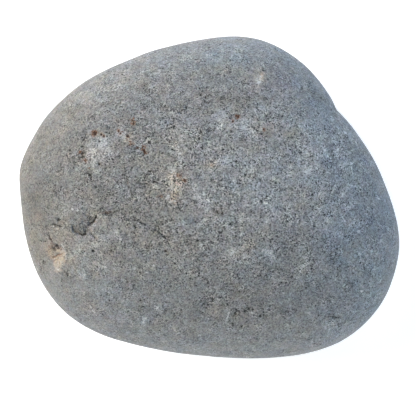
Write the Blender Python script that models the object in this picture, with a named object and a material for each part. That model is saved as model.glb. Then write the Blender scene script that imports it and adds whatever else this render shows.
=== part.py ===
"""River pebble: one flattened, water-worn stone, lying on the worn spot of its underside.

Metres, +Z up. The origin is on the resting plane, under the middle of the stone, and +X runs along its longest side.
The lengths below are in millimetres and become metres at the end.
"""

import math

import bmesh
import bpy
import numpy as np

MM = 0.001

# Outline seen from above: the distance from the centre every 15 degrees, counter-clockwise from +X.
OUTLINE = (
    36.05, 33.3, 31.3, 31.7, 32.7, 32.8, 31.6, 31.0, 31.6, 33.5, 35.7, 37.6,
    37.6, 37.5, 37.4, 36.05, 33.55, 32.05, 31.95, 33.6, 36.55, 39.6, 40.6, 39.4,
)  # fmt: skip

# What the outline does between those: (angle, half-width in degrees, rise).
OUTLINE_DETAILS = (
    (35.5, 4.5, -0.24),  # the nick where the upper lobe meets the right one
    (34.2, 1.8, -0.14),
    (38.6, 2.6, 0.09),
    (25.0, 4.0, 0.12),
    (112.0, 6.0, 0.15),
    (161.0, 4.5, -0.20),
    (172.5, 5.0, 0.36),  # the left shoulder
    (337.5, 6.0, -0.20),
)

RIM_HEIGHT = 15.6  # height of the widest line above the ground, on average
RIM_TILT_X = -2.4  # the right end is this much lower, the left end this much higher
RIM_TILT_Y = 0.7
RIM_WAVE = 0.8  # the widest line also rises and falls twice on its way round
RIM_WAVE_AT = 35.0
TOP_RISE = 17.9  # from the widest line to the crown
BOTTOM_DROP = 16.5  # from the widest line to the lowest point, before it was worn flat
SQUARENESS = 2.32  # exponent of the side profile: 2 is an ellipse, more is boxier
SQUARENESS_SWING = 0.16
SQUARENESS_AT = 285.0  # boxiest at this angle, roundest opposite

# Low swells and hollows of the upper side: (x, y, radius, height).
TOP_RELIEF = (
    (5.0, 4.5, 17.0, 0.55),  # the crown plateau
    (-24.0, -4.6, 5.5, -0.30),  # the long hollow that the crack follows
    (-16.5, -3.4, 6.0, -0.34),
    (-9.5, -7.5, 6.0, -0.26),
    (-22.0, -14.0, 8.0, 0.34),  # the swell below it
    (15.5, -15.0, 9.0, -0.30),
    (23.5, 18.0, 5.5, -0.34),  # the valley that runs in from the nick
    (2.0, 21.0, 7.0, -0.22),
    (-14.0, 13.0, 7.0, -0.16),
    (24.0, 3.0, 8.0, 0.22),
)

# The same for the underside.
BOTTOM_RELIEF = (
    (20.0, 12.0, 11.0, 0.55),
    (-22.0, 10.0, 10.0, -0.35),
    (-18.0, -16.0, 9.0, 0.50),
    (24.0, -14.0, 10.0, -0.40),
    (0.0, 22.0, 8.0, 0.35),
)

# Faces that the river wore flatter: (azimuth, elevation, depth below the touching plane).
FACETS = (
    (318.0, 38.0, 0.55),
    (38.0, 47.0, 0.40),
    (128.0, 44.0, 0.45),
    (205.0, 50.0, 0.35),
    (250.0, -38.0, 0.70),
    (165.0, -34.0, 0.60),
    (78.0, -42.0, 0.65),
    (352.0, -36.0, 0.60),
)
FACET_SOFTNESS = 0.35

# The hollow beside the crack, where a chip came out: (x, y, radius, depth).
CHIP = (-25.6, -6.2, 2.6, 0.75)

REST_BLEND = 0.40  # how softly the worn resting face runs into the curved underside

SEGMENTS = 22  # grid squares along each edge of the cube that the stone is rounded from


def outline_radius(theta):
    """The outline's radius at each angle: the measured distances joined by harmonics, with the details added."""
    n = len(OUTLINE)
    stations = 2 * math.pi * np.arange(n) / n
    distances = np.array(OUTLINE)
    radius = np.zeros_like(theta)
    for m in range(n // 2 + 1):
        weight = (1 if m in (0, n // 2) else 2) / n
        radius += weight * (
            (distances * np.cos(m * stations)).sum() * np.cos(m * theta)
            + (distances * np.sin(m * stations)).sum() * np.sin(m * theta)
        )
    for angle, width, rise in OUTLINE_DETAILS:
        away = (np.degrees(theta) - angle + 180) % 360 - 180
        radius += rise * np.exp(-((away / width) ** 2))
    return radius


def swells(x, y, relief):
    height = np.zeros_like(x)
    for cx, cy, radius, rise in relief:
        height += rise * np.exp(-((x - cx) ** 2 + (y - cy) ** 2) / radius**2)
    return height


def body_points(directions):
    """The stone before wear: for each direction from the centre, its point on the rounded body."""
    dx, dy, dz = directions.T
    rho, up = np.hypot(dx, dy), np.abs(dz)
    theta = np.arctan2(dy, dx)
    p = SQUARENESS + SQUARENESS_SWING * np.cos(theta - math.radians(SQUARENESS_AT))
    k = (rho**p + up**p) ** (-1 / p)
    across, along = rho * k, up * k
    reach = outline_radius(theta) * across
    x, y = reach * np.cos(theta), reach * np.sin(theta)
    wave = RIM_WAVE * across**2 * np.cos(2 * (theta - math.radians(RIM_WAVE_AT)))
    lean = RIM_TILT_X * x / 38 + RIM_TILT_Y * y / 32 + wave
    fade = along * along * (3 - 2 * along)
    top = RIM_HEIGHT + lean + along * TOP_RISE + fade * swells(x, y, TOP_RELIEF)
    bottom = (
        RIM_HEIGHT
        + lean
        - along * (BOTTOM_DROP + lean)
        + fade * swells(x, y, BOTTOM_RELIEF)
    )
    return np.column_stack([x, y, np.where(dz > 0, top, bottom)])


def wear_facets(points):
    """Pulls each facet's cap back towards its plane, softly, so no edge shows."""
    for azimuth, elevation, depth in FACETS:
        a, e = math.radians(azimuth), math.radians(elevation)
        normal = np.array(
            [math.cos(e) * math.cos(a), math.cos(e) * math.sin(a), math.sin(e)]
        )
        reach = points @ normal
        proud = (reach - (reach.max() - depth)) / FACET_SOFTNESS
        back = FACET_SOFTNESS * 0.8 * np.logaddexp(0, proud)
        points = points - back[:, None] * normal
    return points


def cut_chip(points):
    x, y, radius, depth = CHIP
    away = ((points[:, 0] - x) ** 2 + (points[:, 1] - y) ** 2) / radius**2
    points[:, 2] -= np.where(points[:, 2] > RIM_HEIGHT, depth * np.exp(-away), 0)
    return points


def wear_rest(points):
    """Levels the lowest spot into the flat face that the stone rests on, at height 0."""
    z, b = points[:, 2], REST_BLEND
    points[:, 2] = np.where(z < -b, 0, np.where(z > b, z, (z + b) ** 2 / (4 * b)))
    return points


def rounded_cube(segments):
    """A cube of evenly divided faces, blown up to a unit ball."""
    bm = bmesh.new()
    bmesh.ops.create_cube(bm, size=2)
    bmesh.ops.subdivide_edges(
        bm, edges=bm.edges[:], cuts=segments - 1, use_grid_fill=True
    )
    for vert in bm.verts:
        # Equal angles keep the squares of one size, from the middle of a face to its corners.
        vert.co = [math.tan(c * math.pi / 4) for c in vert.co]
        vert.co.normalize()
    return bm


def stone_material():
    material = bpy.data.materials.new("stone")
    material.use_nodes = True
    shader = material.node_tree.nodes["Principled BSDF"]
    shader.inputs["Base Color"].default_value = (0.235, 0.250, 0.262, 1)
    shader.inputs["Roughness"].default_value = 0.82
    shader.inputs["Metallic"].default_value = 0
    return material


def main():
    for obj in list(bpy.data.objects):
        bpy.data.objects.remove(obj, do_unlink=True)

    bm = rounded_cube(SEGMENTS)
    directions = np.array([vert.co[:] for vert in bm.verts])
    directions /= np.linalg.norm(directions, axis=1)[:, None]
    points = wear_rest(cut_chip(wear_facets(body_points(directions))))
    middle = (points.min(axis=0) + points.max(axis=0)) / 2
    points[:, :2] -= middle[:2]
    for vert, point in zip(bm.verts, points):
        vert.co = point * MM
    bmesh.ops.recalc_face_normals(bm, faces=bm.faces[:])

    mesh = bpy.data.meshes.new("pebble")
    bm.to_mesh(mesh)
    bm.free()
    mesh.shade_smooth()
    mesh.materials.append(stone_material())
    pebble = bpy.data.objects.new("pebble", mesh)
    bpy.context.scene.collection.objects.link(pebble)


main()
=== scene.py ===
"""River pebble: the finished stone, its studio floor, light and camera.

The stone is one closed mesh. It repeats the body that the CAD solid has, on a finer grid, and adds the relief that is
too fine for the solid: the chipped hollow and its crack, the scar at the left end, pits, and the sanded, worn skin.
Lengths are in millimetres in the functions and become metres in the mesh. Places on the upper side are given as seen
from straight above, in units of 0.2 mm, counted from the left and the top of the view.
"""

import math

import bmesh
import bpy
import numpy as np
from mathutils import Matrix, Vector


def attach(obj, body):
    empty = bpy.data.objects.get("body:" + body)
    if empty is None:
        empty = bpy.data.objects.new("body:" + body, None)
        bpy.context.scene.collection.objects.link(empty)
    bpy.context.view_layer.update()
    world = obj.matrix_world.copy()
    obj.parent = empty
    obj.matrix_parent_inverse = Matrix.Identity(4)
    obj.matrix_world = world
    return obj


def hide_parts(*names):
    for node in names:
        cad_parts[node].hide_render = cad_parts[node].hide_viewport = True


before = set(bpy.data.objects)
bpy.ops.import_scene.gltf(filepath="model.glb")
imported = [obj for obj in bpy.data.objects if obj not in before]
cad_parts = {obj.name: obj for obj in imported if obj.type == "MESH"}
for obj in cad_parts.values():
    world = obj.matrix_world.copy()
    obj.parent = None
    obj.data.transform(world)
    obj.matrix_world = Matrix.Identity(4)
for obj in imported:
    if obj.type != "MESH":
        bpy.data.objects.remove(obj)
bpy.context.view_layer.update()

MM = 0.001
UNIT = 0.2  # mm for each unit of the view from above

# ---------------------------------------------------------------- camera

VIEW_SIZE = 416
CAMERA_HEIGHT = 620.0  # above the stone's widest line
WIDEST = 15.6
STONE_AT = (210.07, 197.77)  # where the middle of the stone lies in the view


def seen_from_above(points):
    """Where each point appears in the view from straight above, in its units."""
    eye_x = (VIEW_SIZE / 2 - STONE_AT[0]) * UNIT
    eye_y = (STONE_AT[1] - VIEW_SIZE / 2) * UNIT
    nearer = CAMERA_HEIGHT / (CAMERA_HEIGHT + WIDEST - points[:, 2])
    u = VIEW_SIZE / 2 + (points[:, 0] - eye_x) * nearer / UNIT
    v = VIEW_SIZE / 2 - (points[:, 1] - eye_y) * nearer / UNIT
    return np.column_stack([u, v])


def make_camera():
    data = bpy.data.cameras.new("camera")
    data.sensor_width = 36.0
    data.lens = 36.0 * CAMERA_HEIGHT / (VIEW_SIZE * UNIT)
    data.clip_start, data.clip_end = 0.01, 50.0
    data.dof.use_dof = False
    camera = bpy.data.objects.new("camera", data)
    camera.location = (
        (VIEW_SIZE / 2 - STONE_AT[0]) * UNIT * MM,
        (STONE_AT[1] - VIEW_SIZE / 2) * UNIT * MM,
        (CAMERA_HEIGHT + WIDEST) * MM,
    )
    bpy.context.scene.collection.objects.link(camera)
    bpy.context.scene.camera = camera


# ---------------------------------------------------------------- the body, as the solid has it

OUTLINE = (
    36.05, 33.3, 31.3, 31.7, 32.7, 32.8, 31.6, 31.0, 31.6, 33.5, 35.7, 37.6,
    37.6, 37.5, 37.4, 36.05, 33.55, 32.05, 31.95, 33.6, 36.55, 39.6, 40.6, 39.4,
)  # fmt: skip
OUTLINE_DETAILS = (
    (35.5, 4.5, -0.24),
    (34.2, 1.8, -0.14),
    (38.6, 2.6, 0.09),
    (25.0, 4.0, 0.12),
    (112.0, 6.0, 0.15),
    (161.0, 4.5, -0.20),
    (172.5, 5.0, 0.36),
    (337.5, 6.0, -0.20),
)
RIM_HEIGHT = 15.6
RIM_TILT_X = -2.4
RIM_TILT_Y = 0.7
RIM_WAVE = 0.8
RIM_WAVE_AT = 35.0
TOP_RISE = 17.9
BOTTOM_DROP = 16.5
SQUARENESS = 2.32
SQUARENESS_SWING = 0.16
SQUARENESS_AT = 285.0
TOP_RELIEF = (
    (5.0, 4.5, 17.0, 0.55),
    (-24.0, -4.6, 5.5, -0.30),
    (-16.5, -3.4, 6.0, -0.34),
    (-9.5, -7.5, 6.0, -0.26),
    (-22.0, -14.0, 8.0, 0.34),
    (15.5, -15.0, 9.0, -0.30),
    (23.5, 18.0, 5.5, -0.34),
    (2.0, 21.0, 7.0, -0.22),
    (-14.0, 13.0, 7.0, -0.16),
    (24.0, 3.0, 8.0, 0.22),
)
BOTTOM_RELIEF = (
    (20.0, 12.0, 11.0, 0.55),
    (-22.0, 10.0, 10.0, -0.35),
    (-18.0, -16.0, 9.0, 0.50),
    (24.0, -14.0, 10.0, -0.40),
    (0.0, 22.0, 8.0, 0.35),
)
FACETS = (
    (318.0, 38.0, 0.55),
    (38.0, 47.0, 0.40),
    (128.0, 44.0, 0.45),
    (205.0, 50.0, 0.35),
    (250.0, -38.0, 0.70),
    (165.0, -34.0, 0.60),
    (78.0, -42.0, 0.65),
    (352.0, -36.0, 0.60),
)
FACET_SOFTNESS = 0.35
REST_BLEND = 0.40


def outline_radius(theta):
    n = len(OUTLINE)
    stations = 2 * math.pi * np.arange(n) / n
    distances = np.array(OUTLINE)
    radius = np.zeros_like(theta)
    for m in range(n // 2 + 1):
        weight = (1 if m in (0, n // 2) else 2) / n
        radius += weight * (
            (distances * np.cos(m * stations)).sum() * np.cos(m * theta)
            + (distances * np.sin(m * stations)).sum() * np.sin(m * theta)
        )
    for angle, width, rise in OUTLINE_DETAILS:
        away = (np.degrees(theta) - angle + 180) % 360 - 180
        radius += rise * np.exp(-((away / width) ** 2))
    return radius


def swells(x, y, relief):
    height = np.zeros_like(x)
    for cx, cy, radius, rise in relief:
        height += rise * np.exp(-((x - cx) ** 2 + (y - cy) ** 2) / radius**2)
    return height


def body_points(directions):
    dx, dy, dz = directions.T
    rho, up = np.hypot(dx, dy), np.abs(dz)
    theta = np.arctan2(dy, dx)
    p = SQUARENESS + SQUARENESS_SWING * np.cos(theta - math.radians(SQUARENESS_AT))
    k = (rho**p + up**p) ** (-1 / p)
    across, along = rho * k, up * k
    reach = outline_radius(theta) * across
    x, y = reach * np.cos(theta), reach * np.sin(theta)
    wave = RIM_WAVE * across**2 * np.cos(2 * (theta - math.radians(RIM_WAVE_AT)))
    lean = RIM_TILT_X * x / 38 + RIM_TILT_Y * y / 32 + wave
    fade = along * along * (3 - 2 * along)
    top = RIM_HEIGHT + lean + along * TOP_RISE + fade * swells(x, y, TOP_RELIEF)
    bottom = (
        RIM_HEIGHT
        + lean
        - along * (BOTTOM_DROP + lean)
        + fade * swells(x, y, BOTTOM_RELIEF)
    )
    return np.column_stack([x, y, np.where(dz > 0, top, bottom)])


def wear_facets(points):
    for azimuth, elevation, depth in FACETS:
        a, e = math.radians(azimuth), math.radians(elevation)
        normal = np.array(
            [math.cos(e) * math.cos(a), math.cos(e) * math.sin(a), math.sin(e)]
        )
        reach = points @ normal
        proud = (reach - (reach.max() - depth)) / FACET_SOFTNESS
        back = FACET_SOFTNESS * 0.8 * np.logaddexp(0, proud)
        points = points - back[:, None] * normal
    return points


def wear_rest(points):
    z, b = points[:, 2], REST_BLEND
    points[:, 2] = np.where(z < -b, 0, np.where(z > b, z, (z + b) ** 2 / (4 * b)))
    return points


def body_at(cube):
    """Points of the body for places on the cube from -1 to 1 that the stone is rounded from."""
    directions = np.tan(cube * math.pi / 4)
    directions /= np.linalg.norm(directions, axis=1)[:, None]
    points = wear_rest(wear_facets(body_points(directions)))
    low, high = points.min(axis=0), points.max(axis=0)
    points[:, :2] -= (low[:2] + high[:2]) / 2
    return points


# ---------------------------------------------------------------- relief, in units of the view from above

# The chipped hollow's edge and the crack that runs on from it: (u, v, step down to its left in mm, groove in mm). The
# groove and the low side beside the edge also get painted shade.
LEDGE = (
    (75.6, 222.4, 0.00, 0.00),
    (72.3, 224.6, 0.14, 0.10),
    (71.7, 228.4, 0.22, 0.14),
    (73.4, 231.8, 0.26, 0.15),
    (77.6, 233.4, 0.28, 0.10),
    (81.4, 236.2, 0.32, 0.22),
    (84.8, 235.4, 0.28, 0.16),
    (87.2, 233.2, 0.20, 0.08),
    (88.2, 229.8, 0.18, 0.02),
    (87.6, 226.3, 0.26, 0.13),
    (90.9, 225.1, 0.34, 0.20),
    (93.7, 221.8, 0.38, 0.20),
    (95.6, 218.2, 0.36, 0.17),
    (96.4, 214.6, 0.24, 0.11),
    (98.0, 212.5, 0.12, 0.05),
    (103.6, 212.6, 0.14, 0.08),
    (106.6, 214.6, 0.16, 0.20),
    (109.4, 212.9, 0.16, 0.10),
    (112.6, 213.3, 0.16, 0.12),
    (116.8, 211.2, 0.12, 0.11),
    (121.6, 213.6, 0.08, 0.03),
    (127.4, 219.8, 0.12, 0.11),
    (133.6, 220.9, 0.14, 0.12),
    (138.6, 221.6, 0.14, 0.12),
    (144.4, 224.6, 0.14, 0.08),
    (151.6, 228.8, 0.12, 0.05),
    (158.6, 231.8, 0.12, 0.09),
    (163.0, 236.2, 0.12, 0.10),
    (166.6, 240.0, 0.11, 0.09),
    (169.6, 245.0, 0.05, 0.06),
    (171.0, 249.0, 0.00, 0.00),
)

# Fine cracks and scratches, with painted shade in them: (width, depth in mm, points).
GROOVES = (
    (1.0, 0.13, ((88.4, 232.8), (90.6, 233.6), (92.6, 235.8), (94.8, 238.2))),
    (1.1, 0.11, ((77.4, 225.2), (75.8, 227.6), (75.9, 230.0), (78.6, 231.8))),
    (1.0, 0.07, ((80.2, 225.4), (81.0, 228.4), (80.4, 231.6))),
    (1.1, 0.13, ((83.2, 228.2), (85.7, 231.0), (84.9, 234.2))),
    (1.0, 0.08, ((192.4, 221.4), (196.0, 221.9), (200.2, 221.6))),
    (1.2, 0.12, ((82.2, 221.6), (84.8, 220.4), (87.6, 221.0), (89.6, 223.6))),
    (1.1, 0.08, ((79.6, 216.4), (83.0, 214.2), (87.8, 213.8))),
    (1.3, 0.20, ((53.0, 224.0), (55.2, 225.0), (57.4, 226.2), (60.2, 226.4))),
    (1.3, 0.13, ((48.9, 234.2), (49.8, 237.2), (51.0, 240.0))),
    (1.1, 0.14, ((39.4, 240.4), (43.0, 241.8), (47.2, 240.6))),
    (1.5, 0.14, ((52.0, 257.4), (54.4, 256.4), (57.2, 255.2), (60.6, 254.2))),
    (1.1, 0.10, ((53.4, 261.2), (56.0, 260.0), (58.0, 258.6))),
    (1.0, 0.12, ((133.2, 225.4), (135.8, 227.6))),
    (1.1, 0.12, ((88.4, 173.6), (90.2, 176.0), (91.0, 179.4))),
    (1.1, 0.10, ((102.6, 311.4), (103.8, 316.8))),
    (1.1, 0.12, ((325.0, 316.2), (333.0, 317.0), (341.0, 317.8))),
    (1.0, 0.08, ((120.6, 209.8), (122.6, 207.0))),
)

# Pits where grains fell out, with painted shade in them: (u, v, radius, depth in mm).
PITS = (
    (93.0, 251.2, 1.4, 0.24), (58.3, 219.6, 1.7, 0.18), (57.6, 222.4, 1.4, 0.12),
    (48.3, 214.0, 1.3, 0.12), (94.5, 133.0, 2.4, 0.16), (101.3, 134.2, 1.3, 0.12),
    (133.0, 122.6, 2.2, 0.14), (118.6, 131.4, 1.4, 0.10), (127.7, 135.6, 1.7, 0.16),
    (137.3, 147.9, 1.5, 0.14), (143.9, 147.2, 1.7, 0.12), (144.3, 151.8, 1.9, 0.20),
    (148.6, 141.5, 1.2, 0.10), (81.8, 155.8, 2.0, 0.14), (84.9, 160.6, 1.4, 0.10),
    (81.8, 146.3, 1.5, 0.12), (83.7, 139.4, 1.3, 0.10), (70.6, 151.2, 1.2, 0.10),
    (99.0, 141.4, 1.3, 0.12), (89.9, 159.6, 1.2, 0.10), (99.0, 164.4, 1.4, 0.12),
    (237.4, 116.5, 1.8, 0.16), (237.2, 119.8, 1.4, 0.10), (232.8, 121.6, 1.5, 0.10),
    (235.3, 313.1, 2.2, 0.16), (238.8, 311.3, 1.7, 0.12), (245.2, 311.0, 1.9, 0.16),
    (248.6, 309.0, 1.6, 0.14), (252.8, 309.6, 1.5, 0.12), (260.1, 316.2, 1.4, 0.12),
    (232.7, 324.4, 1.6, 0.14), (241.3, 326.5, 1.7, 0.14), (203.8, 304.0, 1.5, 0.16),
    (207.4, 303.0, 1.3, 0.10), (212.2, 298.4, 1.4, 0.14), (201.4, 301.4, 1.3, 0.12),
    (286.3, 311.4, 1.3, 0.12), (55.9, 245.6, 2.2, 0.22), (53.0, 249.4, 1.8, 0.18),
    (57.5, 248.6, 1.6, 0.18), (45.4, 262.2, 1.8, 0.12), (67.8, 272.8, 1.8, 0.10),
    (165.5, 251.0, 1.4, 0.14), (106.5, 214.3, 1.3, 0.12), (186.4, 107.5, 1.3, 0.10),
    (179.7, 113.0, 1.4, 0.12), (169.2, 123.2, 1.3, 0.10), (174.3, 127.6, 1.3, 0.10),
    (149.7, 171.0, 1.4, 0.12), (154.2, 181.5, 1.4, 0.12), (169.0, 208.0, 1.3, 0.10),
    (204.4, 254.4, 1.3, 0.10), (312.9, 194.4, 1.4, 0.12), (332.0, 215.8, 1.3, 0.10),
    (160.2, 196.4, 1.5, 0.10), (233.4, 99.5, 1.6, 0.10), (221.0, 240.0, 1.3, 0.10),
)  # fmt: skip

# Shallow hollows and raised patches: (u, v, half-width, half-height, turn in degrees, height in mm).
SWELLINGS = (
    (59.0, 254.0, 7.5, 12.0, -12.0, -0.30),  # the scar
    (59.5, 262.5, 5.5, 6.0, 0.0, 0.10),  # the loose cream crust in it
    (86.0, 216.0, 11.0, 8.0, 0.0, -0.16),
    (79.0, 228.6, 4.6, 4.4, 0.0, 0.15),  # a rounded knob in the hollow
    (244.5, 317.5, 9.5, 5.5, 0.0, 0.14),  # the inclusion among the lower pits
    (98.0, 152.0, 13.0, 12.0, 0.0, 0.07),
    (53.0, 228.0, 7.0, 6.0, 0.0, -0.14),
    (45.0, 250.0, 6.0, 7.0, 0.0, 0.08),
    (220.0, 312.0, 7.0, 6.0, 0.0, 0.06),
    (260.5, 80.0, 6.0, 8.0, 0.0, 0.05),
    (325.0, 102.0, 6.0, 4.0, -25.0, -0.14),  # the start of the nick's valley
)

# Where broken stone lies open, lumpy at the size of its grains, with painted shade between the lumps: (u, v, radius,
# height in mm).
RUBBLE = (
    (88.0, 219.0, 5.0, 0.060),
    (80.6, 230.8, 5.2, 0.075),
    (56.0, 247.6, 4.4, 0.060),
)

# Thin raised rims: (width, height in mm, points).
RIDGES = (
    (1.6, 0.12, ((58.6, 243.2), (62.8, 246.6), (65.2, 250.4), (66.4, 255.0), (66.0, 259.4), (64.8, 264.0))),
    (1.5, 0.07, ((49.0, 241.2), (51.6, 243.6), (54.0, 246.0))),
    (1.4, 0.07, ((52.8, 259.4), (56.0, 257.8), (59.4, 256.4))),
    (1.6, 0.06, ((97.4, 217.2), (94.6, 224.0), (90.6, 229.0))),
    (1.3, 0.08, ((250.4, 311.0), (252.8, 312.4), (254.0, 314.6))),
)  # fmt: skip


def lattice_noise(points, seed):
    """Smooth noise, about -1 to 1, with one swell to each unit of the points."""
    cell = np.floor(points).astype(np.int64)
    local = points - cell
    fade = local**3 * (local * (local * 6 - 15) + 10)
    total = np.zeros(len(points))
    for corner in range(8):
        step = np.array([corner & 1, corner >> 1 & 1, corner >> 2 & 1])
        key = (cell + step) @ np.array([73856093, 19349663, 83492791]) + seed * 7919
        for _ in range(2):
            key = (key ^ (key >> 15)) * 2246822519 & 0xFFFFFFFF
            key = (key ^ (key >> 13)) * 3266489917 & 0xFFFFFFFF
        turn = (key & 0xFFFF) / 65536 * 2 * math.pi
        rise = (key >> 16 & 0xFFFF) / 32768 - 1
        flat = np.sqrt(1 - np.minimum(rise * rise, 1))
        gradient = np.column_stack([flat * np.cos(turn), flat * np.sin(turn), rise])
        weight = np.where(step, fade, 1 - fade).prod(axis=1)
        total += weight * (gradient * (local - step)).sum(axis=1)
    return total * 1.7


def layered_noise(points, size, layers, seed, keep=0.5):
    total, scale = np.zeros(len(points)), 1.0
    for layer in range(layers):
        total += scale * lattice_noise(points / size * 2**layer, seed + 17 * layer)
        scale *= keep
    return total


def along_line(places, line):
    """Distance to a line of points, which side of it (+ is its left as drawn), and the line's other values there."""
    line = np.array(line, float)
    best = np.full(len(places), np.inf)
    side = np.ones(len(places))
    values = np.zeros((len(places), line.shape[1] - 2))
    weights = np.zeros(len(places))
    for a, b in zip(line[:-1], line[1:]):
        run = b[:2] - a[:2]
        t = np.clip(((places - a[:2]) @ run) / (run @ run), 0, 1)
        off = places - (a[:2] + t[:, None] * run)
        distance = np.hypot(off[:, 0], off[:, 1])
        near = distance < best
        best = np.where(near, distance, best)
        turn = run[0] * off[:, 1] - run[1] * off[:, 0]
        side = np.where(near & (np.abs(turn) > 1e-9), np.where(turn < 0, 1.0, -1.0), side)
        weight = (distance**2 + 0.02) ** -3
        values += weight[:, None] * (a[2:] + t[:, None] * (b[2:] - a[2:]))
        weights += weight
    return best, side, values / weights[:, None]


def distance_to(places, line, reach):
    """Distance to a line of points, worked out only within the reach of its box."""
    distance = np.full(len(places), np.inf)
    corners = np.array(line, float)[:, :2]
    close = (places > corners.min(axis=0) - reach) & (places < corners.max(axis=0) + reach)
    close = close.all(axis=1)
    distance[close] = along_line(places[close], corners)[0]
    return distance


def smooth(x, low, high):
    t = np.clip((x - low) / (high - low), 0, 1)
    return t * t * (3 - 2 * t)


def wobble(places, size, amount, seed):
    """Places shifted a little, so that the listed shapes get ragged edges."""
    flat = np.column_stack([places, np.zeros(len(places))])
    return places + amount * np.column_stack(
        [layered_noise(flat, size, 2, seed), layered_noise(flat, size, 2, seed + 5)]
    )


def relief(points, places, upper):
    """Height of the fine relief in mm, and how much painted shade each point gets in a crack, pit or hollow."""
    height = 0.14 * layered_noise(points, 9.0, 2, 11)
    height += 0.045 * layered_noise(points, 2.6, 2, 23)
    height += 0.020 * layered_noise(points, 0.95, 2, 37)
    recess_shade = np.zeros(len(points))

    ragged = wobble(places, 5.0, 0.9, 51)
    features = np.zeros(len(points))
    for u, v, wide, tall, turn, rise in SWELLINGS:
        c, s = math.cos(math.radians(turn)), math.sin(math.radians(turn))
        du, dv = ragged[:, 0] - u, ragged[:, 1] - v
        r2 = ((c * du + s * dv) / wide) ** 2 + ((c * dv - s * du) / tall) ** 2
        features += rise * np.exp(-(r2**1.5))

    uneven = wobble(wobble(places, 4.2, 0.7, 61), 1.7, 0.42, 67)
    distance, side, values = along_line(uneven, LEDGE)
    step, groove = values.T
    inward = distance * side
    reach = 4.0 + 22.0 * step
    low = np.exp(-np.maximum(inward, 0) / reach) * smooth(inward, -0.5, 0.7)
    lip = np.exp(-np.maximum(-inward, 0) / 4.5) * smooth(-inward, -0.5, 0.9)
    features += -step * low + 0.22 * step * lip
    cut = np.exp(-(((inward - 0.5) / 0.95) ** 2))
    features -= groove * cut
    broken = 0.45 + 0.55 * smooth(lattice_noise(points / 0.42, 41), -0.45, 0.25)
    # Painted shade in the groove and on the low side beside the hollow's edge.
    recess_shade = np.maximum(recess_shade, groove * cut * broken * 4.2)
    recess_shade = np.maximum(recess_shade, step * low * smooth(inward, 5.5, 0.2) * 1.45)

    for u, v, radius, rise in RUBBLE:
        inside = np.exp(-((((places[:, 0] - u) ** 2 + (places[:, 1] - v) ** 2) / radius**2) ** 1.5))
        lumps = layered_noise(points, 0.62, 2, 47)
        features += rise * lumps * inside
        # Painted shade in the low spots between the lumps.
        recess_shade = np.maximum(recess_shade, 0.75 * inside * smooth(-lumps, 0.10, 0.75))

    for width, depth, line in GROOVES:
        distance = distance_to(ragged, line, 6.0)
        cut = np.exp(-((distance / (0.62 * width)) ** 2))
        features -= depth * cut
        recess_shade = np.maximum(recess_shade, depth * cut * broken * 4.2)
    for width, rise, line in RIDGES:
        distance = distance_to(ragged, line, 6.0)
        features += rise * np.exp(-((distance / (0.6 * width)) ** 2))
    for u, v, radius, depth in PITS:
        r2 = ((ragged[:, 0] - u) ** 2 + (ragged[:, 1] - v) ** 2) / radius**2
        cut = np.exp(-(r2**1.4))
        features -= depth * cut
        recess_shade = np.maximum(recess_shade, depth * cut * 3.2)
    height += features * upper
    recess_shade *= upper
    return height, recess_shade


def scattered_pits(points, normals):
    """Small pits all over the skin, seeded, so that the sides and the underside are as weathered as the top, each with
    painted shade in it.
    """
    rng = np.random.default_rng(7)
    height, recess_shade = np.zeros(len(points)), np.zeros(len(points))
    for index in rng.choice(len(points), 230, replace=False):
        radius, depth = rng.uniform(0.22, 0.50), rng.uniform(0.04, 0.13)
        off = points - points[index]
        near = np.abs(off).max(axis=1) < 3 * radius
        r2 = (off[near] ** 2).sum(axis=1) / radius**2
        cut = np.exp(-(r2**1.5))
        height[near] -= depth * cut
        recess_shade[near] = np.maximum(recess_shade[near], depth * cut * 3.0)
    return height, recess_shade


# ---------------------------------------------------------------- colour features, in the same units

# Rust: (u, v, radius, strength).
RUST = (
    (94.5, 133.0, 2.9, 1.0), (101.4, 134.3, 1.6, 0.72), (103.7, 136.0, 1.6, 0.70),
    (132.6, 120.6, 1.9, 0.8), (133.8, 123.6, 1.5, 0.9), (133.4, 118.4, 1.2, 0.6),
    (118.4, 131.0, 1.4, 0.95), (120.2, 133.6, 1.3, 0.88), (122.2, 131.6, 1.1, 0.72), (119.8, 129.6, 0.9, 0.55),
    (127.6, 136.1, 1.5, 0.9), (130.0, 141.6, 1.2, 0.6), (131.2, 144.6, 1.2, 0.8), (133.6, 143.0, 1.0, 0.6), (127.0, 139.8, 0.9, 0.5),
    (137.4, 147.9, 1.2, 0.75), (143.2, 146.4, 1.4, 0.8), (143.8, 150.6, 1.7, 0.9),
    (145.2, 152.6, 1.3, 0.8), (148.8, 141.7, 1.3, 0.55), (80.0, 151.9, 1.5, 0.8), (81.8, 156.0, 1.5, 0.5),
    (82.4, 153.4, 1.2, 0.6), (85.0, 160.6, 1.8, 0.72), (89.0, 168.4, 1.2, 0.5),
    (236.0, 115.7, 1.2, 0.9), (238.3, 116.7, 1.5, 1.0), (237.2, 118.9, 1.0, 0.7), (232.8, 121.3, 1.3, 0.8),
    (264.0, 129.4, 2.0, 0.64), (200.7, 131.9, 1.4, 0.22), (208.8, 131.3, 1.3, 0.2),
    (177.5, 175.6, 1.2, 0.55), (180.6, 176.9, 1.4, 0.62), (185.0, 180.6, 1.9, 1.0),
    (159.0, 196.6, 1.4, 0.50), (161.8, 197.0, 1.3, 0.50), (165.6, 251.0, 1.5, 0.7),
    (200.6, 95.0, 1.2, 0.5), (217.4, 211.9, 1.3, 0.5), (222.5, 213.2, 1.3, 0.5),
    (108.0, 213.4, 1.4, 0.32), (44.4, 261.6, 1.5, 0.20), (55.4, 247.2, 2.2, 0.30),
    (150.0, 171.3, 1.2, 0.4), (154.4, 181.5, 1.2, 0.4), (210.8, 165.4, 1.5, 0.34),
)  # fmt: skip

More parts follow.
